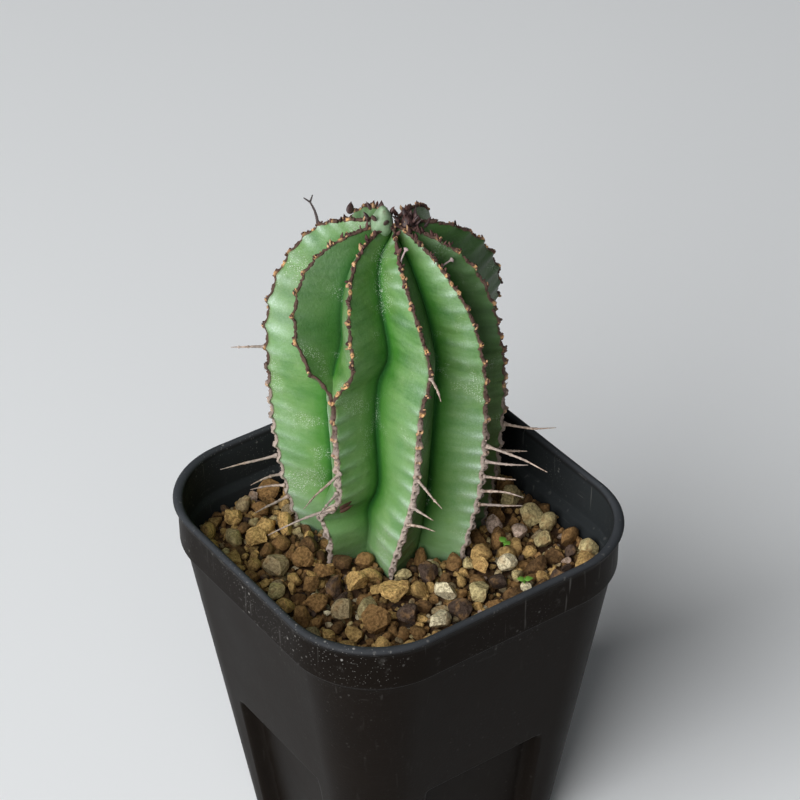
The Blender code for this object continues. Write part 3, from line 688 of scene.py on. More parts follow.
def cork_ribbon(rib, seed):
    """Flat oval section along a crest; its top is raised at scar rims and sunk inside them."""
    line, out, beside, along, level, phase = ridge(rib, CORK_ROWS)
    phase = phase[:, None]
    turn = np.linspace(0, 2 * math.pi, CORK_COLUMNS, endpoint=False)[None, :]
    young = ease(0.42, 0.72, level)[:, None]
    uneven = 0.12 * np.sin(phase * 23 + seed) + 0.16 * np.sin(phase * 9.1 + 2 * seed)
    width = (OLD_CORK_HALF - YOUNG_CORK_LOSS * young) * MM
    width = width * (0.80 + 0.34 * tooth(phase) + uneven * (0.5 + young))
    width = width * np.clip((level[:, None] + 0.05) / 0.05, 0.4, 1)
    side = width * np.cos(turn)
    top = np.clip(np.sin(turn), 0, 1)
    rim, hollow, first = scar(phase, 0.0, side, (0.66 - 0.24 * young) * MM, seed)
    rim_two, hollow_two, second = scar(phase, 0.45, side, (0.44 - 0.14 * young) * MM, seed + 50)
    source = np.random.default_rng(seed)
    rough = lumps(np.stack([phase * 5 + 0 * side, side / MM, 0 * side], -1), source, 16, 2.6)
    rise = 0.40 - 0.14 * young + 0.34 * (rim + rim_two) - 0.48 * (hollow + hollow_two) + 0.16 * rough
    height = np.where(np.sin(turn) > 0, top * rise, 0.45 * np.sin(turn)) * MM
    grid = line[:, None] + beside[:, None] * side[..., None] + out[:, None] * height[..., None]
    made = skin("cork_" + rib, grid, start=line[0] - along[0] * 0.3 * MM,
                end=line[-1] + along[-1] * 0.3 * MM)
    pit = np.clip(hollow + hollow_two, 0, 1) * top
    tan = np.exp(-((1 - tooth(phase)) / 0.22) ** 2) * (first > 0.40) * (0.35 + 0.65 * top)
    paint(made, "pit", pit, 0.0)
    paint(made, "tan", np.maximum(tan, 0.8 * rim_two * (second > 0.8)), 0.0)
    paint(made, "up", level[:, None] + 0 * side, 1.0)
    place_on_root(made, "dry_stalk", crest_cork)


crest_cork = Finish("crest_cork", Specular_IOR_Level=0.3)
pit = crest_cork.own("pit")
young = crest_cork.band(crest_cork.own("up") + (crest_cork.noise(180, 2) - 0.5) * 0.40, 0.30, 0.62)
grit = crest_cork.noise(2600, 4, 0.7)
old_tone = crest_cork.blend(grit, (0.150, 0.108, 0.084), (0.60, 0.50, 0.43))
old_tone = crest_cork.blend(pit * 0.95, old_tone, (0.045, 0.028, 0.022))
young_tone = crest_cork.blend(grit, (0.030, 0.016, 0.012), (0.13, 0.075, 0.055))
young_tone = crest_cork.blend(crest_cork.own("tan") * grit * 1.9, young_tone, (0.70, 0.40, 0.17))
crest_cork.drive("Base Color", crest_cork.blend(young, old_tone, young_tone))
crest_cork.drive("Roughness", 0.70 + grit * 0.2)
crest_cork.relief(grit, 0.15 * MM)
for number, rib in enumerate(CRESTS):
    cork_ribbon(rib, 7 + number)

# ---- Scales on the teeth ---------------------------------------------------------
# Dry remains of leaf stalks and bud scales that still cling to the teeth: small brown
# chips on the upper half, some with a tan broken end.
def icosphere(levels):
    """Unit sphere of triangles: an icosahedron whose faces are split in four per level."""
    golden = (1 + 5 ** 0.5) / 2
    points = np.array([(-1, golden, 0), (1, golden, 0), (-1, -golden, 0), (1, -golden, 0),
                       (0, -1, golden), (0, 1, golden), (0, -1, -golden), (0, 1, -golden),
                       (golden, 0, -1), (golden, 0, 1), (-golden, 0, -1), (-golden, 0, 1)])
    hull = [(0, 11, 5), (0, 5, 1), (0, 1, 7), (0, 7, 10), (0, 10, 11), (1, 5, 9), (5, 11, 4),
            (11, 10, 2), (10, 7, 6), (7, 1, 8), (3, 9, 4), (3, 4, 2), (3, 2, 6), (3, 6, 8),
            (3, 8, 9), (4, 9, 5), (2, 4, 11), (6, 2, 10), (8, 6, 7), (9, 8, 1)]
    faces = np.array(hull)
    points = unit(points)
    for _ in range(levels):
        a, b, c = points[faces[:, 0]], points[faces[:, 1]], points[faces[:, 2]]
        points = unit(np.concatenate([a, b, c, (a + b) / 2, (b + c) / 2, (c + a) / 2]))
        count = len(faces)
        a, b, c, ab, bc, ca = (np.arange(count) + k * count for k in range(6))
        faces = np.concatenate([np.stack(f, -1) for f in
                                ((a, ab, ca), (ab, b, bc), (ca, bc, c), (ab, bc, ca))])
        points, back = np.unique(points.round(6), axis=0, return_inverse=True)
        faces = back.reshape(-1)[faces]
    return points, faces


def colour_points(piece, tones):
    """Store one colour per point, for finishes that read it as their tint."""
    tint = np.hstack([tones, np.ones((len(tones), 1))]).astype(np.float32)
    piece.data.attributes.new("tint", "FLOAT_COLOR", "POINT").data.foreach_set("color", tint.ravel())


def scatter(name, shapes, places, turns, sizes, which, colours, slot, finish, *nodes):
    """One mesh of many turned and stretched copies of a few shapes, coloured one by one."""
    points, faces, tints, used = [], [], [], 0
    for kind, (shape, skin_faces) in enumerate(shapes):
        mine = which == kind
        moved = np.einsum("nij,vj->nvi", turns[mine] * sizes[mine][:, None, :], shape)
        moved = moved + places[mine][:, None]
        count = mine.sum()
        faces.append((skin_faces[None] + np.arange(count)[:, None, None] * len(shape)
                      + used).reshape(-1, 3))
        points.append(moved.reshape(-1, 3))
        tints.append(np.repeat(colours[mine], len(shape), axis=0))
        used += count * len(shape)
    piece = mesh_object(name, np.vstack(points), np.zeros((0, 4), int), np.vstack(faces))
    colour_points(piece, np.vstack(tints))
    place_on_root(piece, slot, finish, *nodes)
    return piece


SCALES_PER_TOOTH = 5
SCALE_SHAPES = 6
SCALE_TONES = (  # colour, then the least and greatest share of it, for brown, tan and grey
    ((0.075, 0.040, 0.032), 0.5, 1.8), ((0.50, 0.31, 0.17), 0.6, 1.2), ((0.40, 0.31, 0.27), 0.6, 1.2))


def stand(way, beside):
    """Turns that take z along a way and y square to it and to the crest's sideways."""
    way = unit(way)
    flat = unit(np.cross(way, beside))
    return np.stack([np.cross(flat, way), flat, way], -1)


def tooth_scales():
    """Up to five flat chips at each tooth of each crest, leaning up and out."""
    source = np.random.default_rng(5)
    ball, faces = icosphere(1)
    shapes = [(ball * (1 + 0.25 * lumps(ball, source, 9, 2.0))[:, None], faces)
              for _ in range(SCALE_SHAPES)]
    places, turns, sizes, colours = [], [], [], []
    for rib in CRESTS:
        line, out, beside, along, level, phase = ridge(rib, RIDGE_STEPS)
        tips = np.arange(math.ceil(phase[0]), phase[-1])
        for _ in range(SCALES_PER_TOOTH):
            spread = tips + source.normal(size=len(tips)) * 0.13
            at = np.interp(spread, phase, np.arange(len(phase))).astype(int)
            at = at[source.random(len(at)) < ease(0.35, 0.8, level[at]) * 0.85 + 0.12]
            lean = source.normal(size=(len(at), 3)) * 0.45
            way = along[at] * (0.6 + lean[:, :1]) + out[at] * (0.8 + lean[:, 1:2])
            way = way + beside[at] * lean[:, 2:]
            aside = beside[at] * source.normal(size=(len(at), 1)) * 0.32 * MM
            places.append(line[at] + aside + out[at] * 0.30 * MM)
            turns.append(stand(way, beside[at]))
            sizes.append(source.uniform((0.24, 0.16, 0.26), (0.48, 0.32, 0.56), (len(at), 3)) * MM)
            brown, tan, grey = (np.array(tone) * source.uniform(low, high, (len(at), 1))
                                for tone, low, high in SCALE_TONES)
            pick = source.random((len(at), 1))
            old = level[at][:, None] < 0.5
            colours.append(np.where(old, grey, np.where(pick < 0.32, tan, brown)))
    count = sum(len(p) for p in places)
    scatter("tooth_scales", shapes, np.vstack(places), np.concatenate(turns), np.vstack(sizes),
            source.integers(0, SCALE_SHAPES, count), np.clip(np.vstack(colours), 0, 1),
            "dry_stalk", scale_skin)


scale_skin = Finish("scale_skin", Specular_IOR_Level=0.3)
grit = scale_skin.noise(2400, 4, 0.7)
mottled = scale_skin.blend(grit, (0.40, 0.37, 0.35), (1.5, 1.45, 1.4))
scale_skin.drive("Base Color", scale_skin.blend(1.0, scale_skin.own("tint", "Color"), mottled, "MULTIPLY"))
scale_skin.drive("Roughness", 0.70 + grit * 0.2)
scale_skin.relief(grit, 0.12 * MM)
tooth_scales()

# ---- Dried flower stalks ---------------------------------------------------------
# Last years' flower stalks, dried to thin woody spines.  Each grows from a scar, is thick
# at its foot and knotted along its length, bends a little and ends in a hard point.
def ends_of(node):
    """Foot and tip of a slender CAD piece: its extremes along its longest way."""
    points = np.array([v.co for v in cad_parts[node].data.vertices])
    middle = points.mean(axis=0)
    way = np.linalg.svd(points - middle, full_matrices=False)[2][0]
    along = (points - middle) @ way
    low = points[along < along.min() + 1e-5].mean(axis=0)
    high = points[along > along.max() - 1e-5].mean(axis=0)
    axis = np.array([STEM_X, STEM_Y])
    if np.hypot(*(low[:2] - axis)) > np.hypot(*(high[:2] - axis)):
        low, high = high, low
    return low, high


def tube(line, radii, sides=12):
    """Grid of points round a path: a circle of each radius, square to the path."""
    along = unit(np.gradient(line, axis=0))
    side = unit(np.cross(along, [0.13, 0.21, 1.0]))
    over = np.cross(side, along)
    angle = np.linspace(0, 2 * math.pi, sides, endpoint=False)[None, :, None]
    ring = np.cos(angle) * side[:, None] + np.sin(angle) * over[:, None]
    return line[:, None] + ring * radii[:, None, None]


def stalk(node, number):
    """Tapered tube from foot to tip with a bow, knots at joints and a swollen foot."""
    foot, tip = ends_of(node)
    source = np.random.default_rng(100 + number)
    share = np.linspace(0, 1, 46)
    length = np.linalg.norm(tip - foot)
    way = (tip - foot) / length
    side = np.cross(way, [0, 0, 1.0])
    over = np.cross(side, way)
    bend = source.uniform(-0.05, 0.05, 2) * length
    curve = np.sin(math.pi * share)[:, None] * (side * bend[0] + over * bend[1])
    curve = curve + (np.sin(2.6 * math.pi * share) * share)[:, None] * side * bend[1] * 0.35
    line = foot - way * 0.5 * MM + (share * (length + 0.5 * MM))[:, None] * way + curve
    radii = 0.31 * (1 - share) ** 0.7 + 0.075
    radii = radii + 0.30 * np.exp(-((share / 0.06) ** 2))
    for knot in source.uniform(0.2, 0.8, 3):
        radii = radii + 0.11 * np.exp(-(((share - knot) / 0.022) ** 2))
    radii = radii * (0.95 + 0.06 * np.sin(share * 60 + number)) * MM
    grid = tube(line, radii)
    made = skin(node.replace("stalk", "spine"), grid, start=line[0], end=line[-1] + way * 0.15 * MM)
    place_on_root(made, "dry_stalk", dry_wood, node)


dry_wood = Finish("dry_wood", Specular_IOR_Level=0.35)
streak = dry_wood.noise(1300, 4, 0.6)
ageing = dry_wood.band(dry_wood.noise(160, 3), 0.40, 0.62)
wood_tone = dry_wood.blend(dry_wood.band(streak, 0.3, 0.7), (0.19, 0.125, 0.090), (0.56, 0.44, 0.36))
wood_tone = dry_wood.blend(ageing * 0.55, wood_tone, (0.30, 0.26, 0.24))
dry_wood.drive("Base Color", wood_tone)
dry_wood.drive("Roughness", 0.62 + streak * 0.25)
dry_wood.relief(streak, 0.08 * MM)
stalk_nodes = sorted(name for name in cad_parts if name.startswith("stalk_"))
for number, node in enumerate(stalk_nodes):
    stalk(node, number)

# ---- Crown growth ----------------------------------------------------------------
# The youngest parts of the plant, packed round the growing point: a green bud, a brown
# bud, small fleshy purple leaves that soon drop, and one dry forked twig.
def leaf_grid(foot, way, face, length, width, thick, curl=0.25, point=1.6):
    """Fleshy leaf: an ellipse of changing width and thickness carried along a curled line."""
    share = np.linspace(0, 1, 26)
    outline = np.sin(math.pi * share ** 0.75) ** 0.8 * (1 - share ** 6) + 0.28 * (1 - share) ** point
    side = unit(np.cross(way, face))
    face = np.cross(side, way)
    line = foot + (share * length)[:, None] * way + (curl * length * share ** 2)[:, None] * face
    angle = np.linspace(0, 2 * math.pi, 20, endpoint=False)[None, :, None]
    wide = (outline * width / 2)[:, None, None]
    deep = (outline ** 0.8 * thick / 2)[:, None, None]
    keel = np.where(np.sin(angle) > 0, 1.0, 0.55)
    return line[:, None] + np.cos(angle) * side * wide + np.sin(angle) * keel * face * deep


def ovoid(foot, height, width, lean):
    """Egg-shaped surface of revolution, carried up a slightly leaning line."""
    share = np.linspace(0.0, 1.0, 24)[1:-1]
    reach = np.sin(math.pi * share ** 0.85) ** 0.75 * width / 2
    line = foot + share[:, None] * (np.array([0, 0, height]) + lean)
    return tube(line, reach, 22)


def bud_leaves(foot, size, count, source, lowest, highest):
    """Small leaves in a spiral round a bud, each lying close to it with its tip out."""
    grids = []
    for leaf in range(count):
        turn = leaf * 2.4 + source.uniform(-0.3, 0.3)
        out = np.array([math.cos(turn), math.sin(turn), 0])
        share = lowest + (highest - lowest) * leaf / count
        round_off = math.sqrt(max(1 - (1.35 * share - 0.55) ** 2, 0.0))
        start = foot + out * size[0] * 0.52 * round_off + [0, 0, size[2] * share]
        way = unit(out * source.uniform(0.25, 0.80) + [0, 0, 1])
        length = source.uniform(2.0, 3.0) * MM
        grids.append(leaf_grid(start, way, -out, length, length * 0.46, length * 0.34, -0.15))
    return grids


def join_grids(name, grids, finish, slot, *nodes):
    """One piece of several closed grids, each ended on poles at its first and last ring."""
    parts = []
    for number, grid in enumerate(grids):
        parts.append(skin("%s_%d" % (name, number), grid, start=grid[0].mean(axis=0),
                          end=grid[-1].mean(axis=0)))
    with bpy.context.temp_override(active_object=parts[0], selected_editable_objects=parts):
        bpy.ops.object.join()
    parts[0].name = name
    place_on_root(parts[0], slot, finish, *nodes)


young_purple = Finish("young_purple", Specular_IOR_Level=0.5)
blush = young_purple.noise(700, 3)
tone = young_purple.blend(young_purple.band(blush, 0.35, 0.65), (0.028, 0.013, 0.014), (0.105, 0.055, 0.048))
young_purple.drive("Base Color", tone)
young_purple.drive("Roughness", 0.45 + blush * 0.2)
young_purple.relief(young_purple.noise(1500, 3), 0.08 * MM)
young_green = Finish("young_green", Specular_IOR_Level=0.5)
tip = young_green.band(young_green.noise(420, 3), 0.52, 0.70)
tone = young_green.blend(young_green.noise(900, 3), (0.115, 0.205, 0.090), (0.28, 0.38, 0.25))
young_green.drive("Base Color", young_green.blend(tip * 0.7, tone, (0.12, 0.07, 0.055)))
young_green.drive("Roughness", 0.45 + tip * 0.15)
young_green.relief(young_green.noise(1200, 3), 0.1 * MM)
for node, name, finish, slot, foot, size, count, seed in (
        ("crown_bud_green", "green_bud", young_green, "stem_skin",
         (5.2, 13.2, 165.7), (5.2, 5.2, 8.9), 7, 3),
        ("crown_bud_brown", "brown_bud", young_purple, "young_leaf",
         (10.6, 10.2, 167.2), (3.6, 3.6, 3.6), 12, 4)):
    foot, size = np.array(foot) * MM, np.array(size) * MM
    source = np.random.default_rng(seed)
    body = ovoid(foot, size[2], size[0], source.normal(size=3) * 0.25 * MM)
    join_grids(name, [body], finish, slot, node)
    lowest = 0.45 if name == "green_bud" else 0.15
    leaves = bud_leaves(foot, size, count, source, lowest, 0.86)
    join_grids(name + "_leaves", leaves, young_purple, "young_leaf")
SIDEWAYS, UPWARDS = np.array([0.815, -0.579, 0.0]), np.array([0.339, 0.475, 0.812])
for node, foot, over, rise, wide in (
        ("crown_leaf_left", (6.2, 27.0, 165.6), 0.1, 2.5, 2.0),
        ("crown_leaf_right", (14.8, 9.3, 167.3), 1.9, 2.2, 1.1),
        ("crown_leaf_back", (12.6, 10.4, 168.4), 0.9, 3.9, 2.1)):
    reach = SIDEWAYS * over * MM + UPWARDS * rise * MM
    foot = np.array(foot) * MM
    way = unit(reach)
    face = unit(np.array([STEM_X, STEM_Y, CROWN]) - foot)
    long = np.linalg.norm(reach) + 0.5 * MM
    grid = leaf_grid(foot - way * 0.5 * MM, way, face, long, wide * MM, 1.1 * MM, 0.12)
    join_grids(node.replace("crown_leaf", "purple_leaf"), [grid], young_purple, "young_leaf", node)
foot = np.array([-1.0, 29.6, 162.9]) * MM
way = unit(UPWARDS * 6.4 - SIDEWAYS * 2.2)
reach = 7.2 * MM
share = np.linspace(0, 1, 30)
trunk = foot + way * reach * share[:, None] * 0.86
trunk = trunk + np.array([0.4, -0.3, 0]) * MM * np.sin(3 * share)[:, None]
branches = [tube(trunk, (0.42 - 0.22 * share) * MM)]
for side in (-1, 1):
    offset = unit(np.cross(way, [0, 0, 1])) * side
    line = trunk[-2] + (way * 0.9 + offset * 0.75) * share[:, None] * reach * 0.22
    branches.append(tube(line, (0.24 - 0.10 * share) * MM))


def grained(name, gloss, scale, detail, dark, pale, rough, spread, depth):
    """Finish whose colour, roughness and relief all follow one noise."""
    made = Finish(name, Specular_IOR_Level=gloss)
    grain = made.noise(scale, detail)
    made.drive("Base Color", made.blend(grain, dark, pale))
    made.drive("Roughness", rough + grain * spread)
    made.relief(grain, depth * MM)
    return made


dark_twig = grained("dark_twig", 0.3, 900, 4, (0.020, 0.015, 0.015), (0.095, 0.072, 0.068), 0.7, 0.2, 0.1)
join_grids("dry_twig", branches, dark_twig, "dry_stalk", "crown_twig")

# ---- Young leaves at the crown ---------------------------------------------------
# Tiny purple-brown leaves that stand close together on the crests round the growing
# point, where the teeth are still only millimetres apart.
LEAF_LEVEL = 0.89
LEAF_CHANCE = 0.042
TAN_CHANCE = 0.12


def leaf_shape():
    """Unit leaf on the z axis: a lens section whose width follows a sine of the length."""
    share = np.array([0.0, 0.2, 0.45, 0.7, 0.9])
    reach = np.sin(math.pi * (0.12 + 0.88 * share) ** 0.8)[:, None]
    angle = np.linspace(0, 2 * math.pi, 7)[:-1][None, :]
    x, y = reach * np.cos(angle), reach * np.sin(angle)
    z = np.repeat(share[:, None], 6, axis=1)
    points = np.vstack([np.stack([x, y, z], -1).reshape(-1, 3), [[0, 0, -0.05], [0, 0, 1.0]]])
    index = np.arange(30).reshape(5, 6)
    near, far = index[:-1].ravel(), index[1:].ravel()
    near_on, far_on = np.roll(index[:-1], -1, 1).ravel(), np.roll(index[1:], -1, 1).ravel()
    foot = np.stack([np.roll(index[0], -1), index[0], np.full(6, 30)], -1)
    tip = np.stack([index[-1], np.roll(index[-1], -1), np.full(6, 31)], -1)
    sides = [np.stack([near, near_on, far_on], -1), np.stack([near, far_on, far], -1)]
    return points, np.vstack([*sides, foot, tip])


def crown_leaves():
    """Leaves on every crest above a level, leaning out along the crest's outward way."""
    source = np.random.default_rng(12)
    places, turns, sizes, colours = [], [], [], []
    for rib in CRESTS:
        line, out, beside, along, level, _ = ridge(rib, RIDGE_STEPS)
        picks = np.flatnonzero((level > LEAF_LEVEL) & (source.random(len(level)) < LEAF_CHANCE))
        lean = source.normal(size=(len(picks), 3)) * 0.35
        way = out[picks] * (0.5 + lean[:, :1]) + along[picks] * (0.25 + lean[:, 1:2]) + [0, 0, 0.6]
        way = way + beside[picks] * lean[:, 2:]
        side = source.normal(size=(len(picks), 1)) * 0.35 * MM
        places.append(line[picks] + beside[picks] * side)
        turns.append(stand(way, beside[picks]))
        long = source.uniform(0.9, 2.3, (len(picks), 1)) * MM
        long = long * (0.40 + 0.60 * ease(0.92, 0.985, level[picks]))[:, None]
        sizes.append(np.hstack([long * 0.28, long * 0.17, long]))
        brown = np.array([0.075, 0.036, 0.033]) * source.uniform(0.4, 1.8, (len(picks), 1))
        tan = source.random((len(picks), 1)) < TAN_CHANCE
        colours.append(np.where(tan, [[0.42, 0.27, 0.15]], brown))
    scatter("crown_leaves", [leaf_shape()], np.vstack(places), np.concatenate(turns),
            np.vstack(sizes), np.zeros(sum(len(p) for p in places), int),
            np.clip(np.vstack(colours), 0, 1), "young_leaf", scale_skin)


crown_leaves()

# ---- Flower knobs and a dead shoot -----------------------------------------------
# Two dried flower heads that still stand on short stalks near the crown, and one shoot
# that withered against the left rib's face just over the soil.
pink_wood = grained("pink_wood", 0.35, 900, 4, (0.20, 0.13, 0.13), (0.62, 0.50, 0.48), 0.6, 0.25, 0.1)
for name, foot, over, rise in (("right_knob", (12.1, -0.8, 162.5), 2.8, 1.9),
                               ("front_knob", (2.3, 1.3, 166.4), 1.5, 3.3)):
    reach = SIDEWAYS * over * MM + UPWARDS * rise * MM
    share = np.linspace(0, 1, 40)
    path = np.array(foot) * MM + reach * share[:, None]
    path = path + np.array([0.0, 0.0, 0.25]) * MM * np.sin(math.pi * share)[:, None]
    width = 0.20 + 0.42 * np.exp(-(((share - 0.90) / 0.11) ** 2)) + 0.25 * np.exp(-((share / 0.10) ** 2))
    join_grids(name, [tube(path, width * MM)], pink_wood, "dry_stalk")
dead_brown = grained("dead_brown", 0.3, 700, 4, (0.016, 0.009, 0.008), (0.15, 0.065, 0.042), 0.65, 0.25, 0.2)
foot = np.array([-15.5, 1.3, 104.4]) * MM
away = np.array([-0.1, -1.0, -0.2])
grids = [leaf_grid(foot, unit([0.80, -0.10, 0.52]), away, 5.6 * MM, 1.9 * MM, 1.0 * MM, 0.0),
         leaf_grid(foot - [0, 0, 0.9 * MM], unit([0.93, -0.15, 0.30]), away,
                   3.6 * MM, 1.2 * MM, 0.9 * MM, 0.05)]
join_grids("dead_shoot", grids, dead_brown, "dry_stalk")

# ---- Potting mix -----------------------------------------------------------------
# The damp bed that the roots are in: fine fired clay, filling the pot from its floor to
# the level of the loose gravel, and pressed up against the foot of the stem.
BED_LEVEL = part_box("potting_mix")[1][2]
BED_COLUMNS = 360
ROOM = 0.3 * MM


def stem_outline(height):
    """The crest and furrow outline at a height as a closed ring of x, y points."""
    radius, level, _ = crest_profile(800)
    reach = float(np.interp(height, level, radius))
    order = list(CRESTS)
    ring = []
    for here, rib in enumerate(order):
        after = order[(here + 1) % len(order)]
        first = float(crest_azimuth(rib, np.array([height]))[0])
        last = float(crest_azimuth(after, np.array([height]))[0])
        last += 2 * math.pi if here == len(order) - 1 else 0
        furrow = reach * (0.97 if rib == "left" else FURROW_SHARE + 0.03)
        out = reach * CREST_REACH.get(rib, 1.0)
        ring.append((out * math.cos(first), out * math.sin(first)))
        middle = (first + last) / 2
        ring.append((furrow * math.cos(middle), furrow * math.sin(middle)))
    return np.array(ring) + [STEM_X, STEM_Y]


def ring_radius(outline, angles):
    """Distance from the stem's middle to an outline along each angle."""
    arm = outline - [STEM_X, STEM_Y]
    turn = np.unwrap(np.arctan2(arm[:, 1], arm[:, 0]))
    turn = np.append(turn, turn[0] + 2 * math.pi)
    reach = np.append(np.hypot(*arm.T), np.hypot(*arm[0]))
    return np.interp((angles - turn[0]) % (2 * math.pi) + turn[0], turn, reach)


def wall_distance(x, y, z, inset=0.0):
    """Signed distance to the pot's inside: a rounded square, negative inside it."""
    half = body_half(z) - WALL - inset
    corner = body_corner(z) - WALL - inset
    over_x = np.abs(x) - (half - corner)
    over_y = np.abs(y) - (half - corner)
    outside = np.hypot(np.maximum(over_x, 0), np.maximum(over_y, 0))
    return outside + np.minimum(np.maximum(over_x, over_y), 0) - corner


def bed_surface():
    """Socket under the stem, lumpy top out to the wall, wall down to the floor."""
    angle = np.linspace(0, 2 * math.pi, BED_COLUMNS, endpoint=False)
    inner = ring_radius(stem_outline(BED_LEVEL), angle) + ROOM * 2
    near, far = np.zeros(BED_COLUMNS), np.full(BED_COLUMNS, 90 * MM)
    for _ in range(40):
        middle = (near + far) / 2
        out = wall_distance(STEM_X + middle * np.cos(angle), STEM_Y + middle * np.sin(angle),
                            BED_LEVEL, ROOM) > 0
        near, far = np.where(out, near, middle), np.where(out, middle, far)
    outer = near
    share = np.linspace(0, 1, 60)[:, None]
    reach = np.concatenate([inner * np.array([[0.35], [0.8]]), inner + (outer - inner) * share])
    level = np.concatenate([[BED_LEVEL - 7 * MM, BED_LEVEL - 4 * MM], np.full(60, BED_LEVEL)])
    x = STEM_X + reach * np.cos(angle)
    y = STEM_Y + reach * np.sin(angle)
    source = np.random.default_rng(9)
    flat = np.stack([x, y, np.zeros_like(x)], -1)
    lumpy = lumps(flat, source, 30, 900) + 0.6 * lumps(flat, source, 30, 2200)
    z = level[:, None] - 0.9 * MM + lumpy * 0.5 * MM * (level[:, None] == BED_LEVEL)
    top = np.stack([x, y, z], -1)
    levels = np.linspace(BED_LEVEL - 2 * MM, ARCH + FLOOR_PLATE + ROOM, 24)
    shrink = (body_half(levels) - WALL - ROOM - PANEL_DEPTH * (levels < PANEL_TOP + WALL))
    shrink = (shrink / (body_half(BED_LEVEL) - WALL - ROOM))[:, None]
    side = np.stack([x[-1] * shrink, y[-1] * shrink, levels[:, None] * np.ones_like(x[-1])], -1)
    grid = np.concatenate([top, side])
    root = np.array([STEM_X, STEM_Y, BED_LEVEL - 9 * MM])
    return skin("gravel_bed", grid, start=root, end=np.array([0, 0, levels[-1]]))


damp_clay = Finish("damp_clay", Specular_IOR_Level=0.25)
crumb = damp_clay.cells(420)
clay_tone = damp_clay.blend(damp_clay.noise(300, 5), (0.030, 0.016, 0.009), (0.15, 0.082, 0.042))
damp_clay.drive("Base Color", clay_tone)
damp_clay.drive("Roughness", 0.85 + crumb * 0.1)
damp_clay.relief(crumb + damp_clay.noise(900, 4) * 0.6, 0.8 * MM)
place_on_root(bed_surface(), "mix_grains", damp_clay, "potting_mix")

# ---- Loose gravel ----------------------------------------------------------------
# Top dressing of mixed grains: fired clay in tans and browns, pumice in white, olive, grey
# and pink, and dark lava.  The large grains are single stones; the small ones fill in.
GRAIN_TONES = {
    "akadama_tan": (0.56, 0.365, 0.140),
    "akadama_brown": (0.265, 0.150, 0.058),
    "akadama_dark": (0.130, 0.072, 0.030),
    "lava_grey": (0.085, 0.056, 0.042),
    "pumice_white": (0.76, 0.67, 0.46),
    "pumice_olive": (0.52, 0.43, 0.22),
    "pumice_grey": (0.36, 0.28, 0.16),
    "pumice_pink": (0.50, 0.38, 0.31),
}
STONE_KINDS = (
    "akadama_tan", "pumice_white", "pumice_olive", "pumice_white", "lava_grey", "lava_grey",
    "akadama_brown", "pumice_grey", "akadama_tan", "akadama_brown", "akadama_brown",
    "akadama_brown", "akadama_brown", "pumice_grey", "akadama_tan", "akadama_tan",
    "pumice_white", "pumice_olive", "pumice_olive", "pumice_olive", "pumice_pink",
    "pumice_pink", "akadama_tan", "akadama_brown", "akadama_tan", "pumice_olive",
)


def chip(points, source, cuts, rough, pitch=1.7):
    """A pebble: a ball made lumpy, then flattened against a few random planes."""
    shape = points * (1 + rough * lumps(points, source, 12, pitch))[:, None]
    for _ in range(cuts):
        way = unit(source.normal(size=3))
        over = np.maximum(shape @ way - source.uniform(0.46, 0.84), 0)
        shape = shape - over[:, None] * way * 0.95
    return shape / np.abs(shape).max(axis=0)


def stone(number, kind):
    """One large stone, fitted to the box of its CAD solid."""
    node = "stone_%02d" % number
    low, high = (np.array(corner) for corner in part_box(node))
    source = np.random.default_rng(40 + number)
    ball, faces = icosphere(5)
    knobbly = kind.startswith(("akadama", "lava"))
    shape = chip(ball, source, 7 if knobbly else 9, 0.26 if knobbly else 0.16, 1.3)
    pits = lumps(shape, source, 24, 5.0) + 0.7 * lumps(shape, source, 24, 11.0)
    pits = pits + 0.5 * lumps(shape, source, 24, 24.0)
    shape = shape * (1 + (0.075 if knobbly else 0.026) * pits)[:, None]
    place = (low + high) / 2 + shape * (high - low) / 2 * 1.06
    made = mesh_object("pebble_%02d" % number, place, np.zeros((0, 4), int), faces)
    tone = np.array(GRAIN_TONES[kind]) * source.uniform(0.9, 1.1)
    colour_points(made, np.tile(tone, (len(place), 1)))
    place_on_root(made, "loose_stones", grain_stone, node)
    return (low + high) / 2, (high - low) / 2


GRAIN_SHAPES = 14
THROW_REACH = 42 * MM
BURIED_THROWS, BURIED_GRAINS = 2600, 650
GRAIN_CHANCES = (0.24, 0.31, 0.20, 0.06, 0.04, 0.08, 0.06, 0.01)
GRAIN_SIZES = (  # least and greatest radius in mm, throws, closeness, lift over the bed
    (2.3, 3.0, 900, 0.90, 0.0), (1.7, 2.3, 2600, 0.86, 0.0), (1.1, 1.7, 5000, 0.80, 0.0),
    (0.55, 1.0, 6000, 0.62, 0.2))


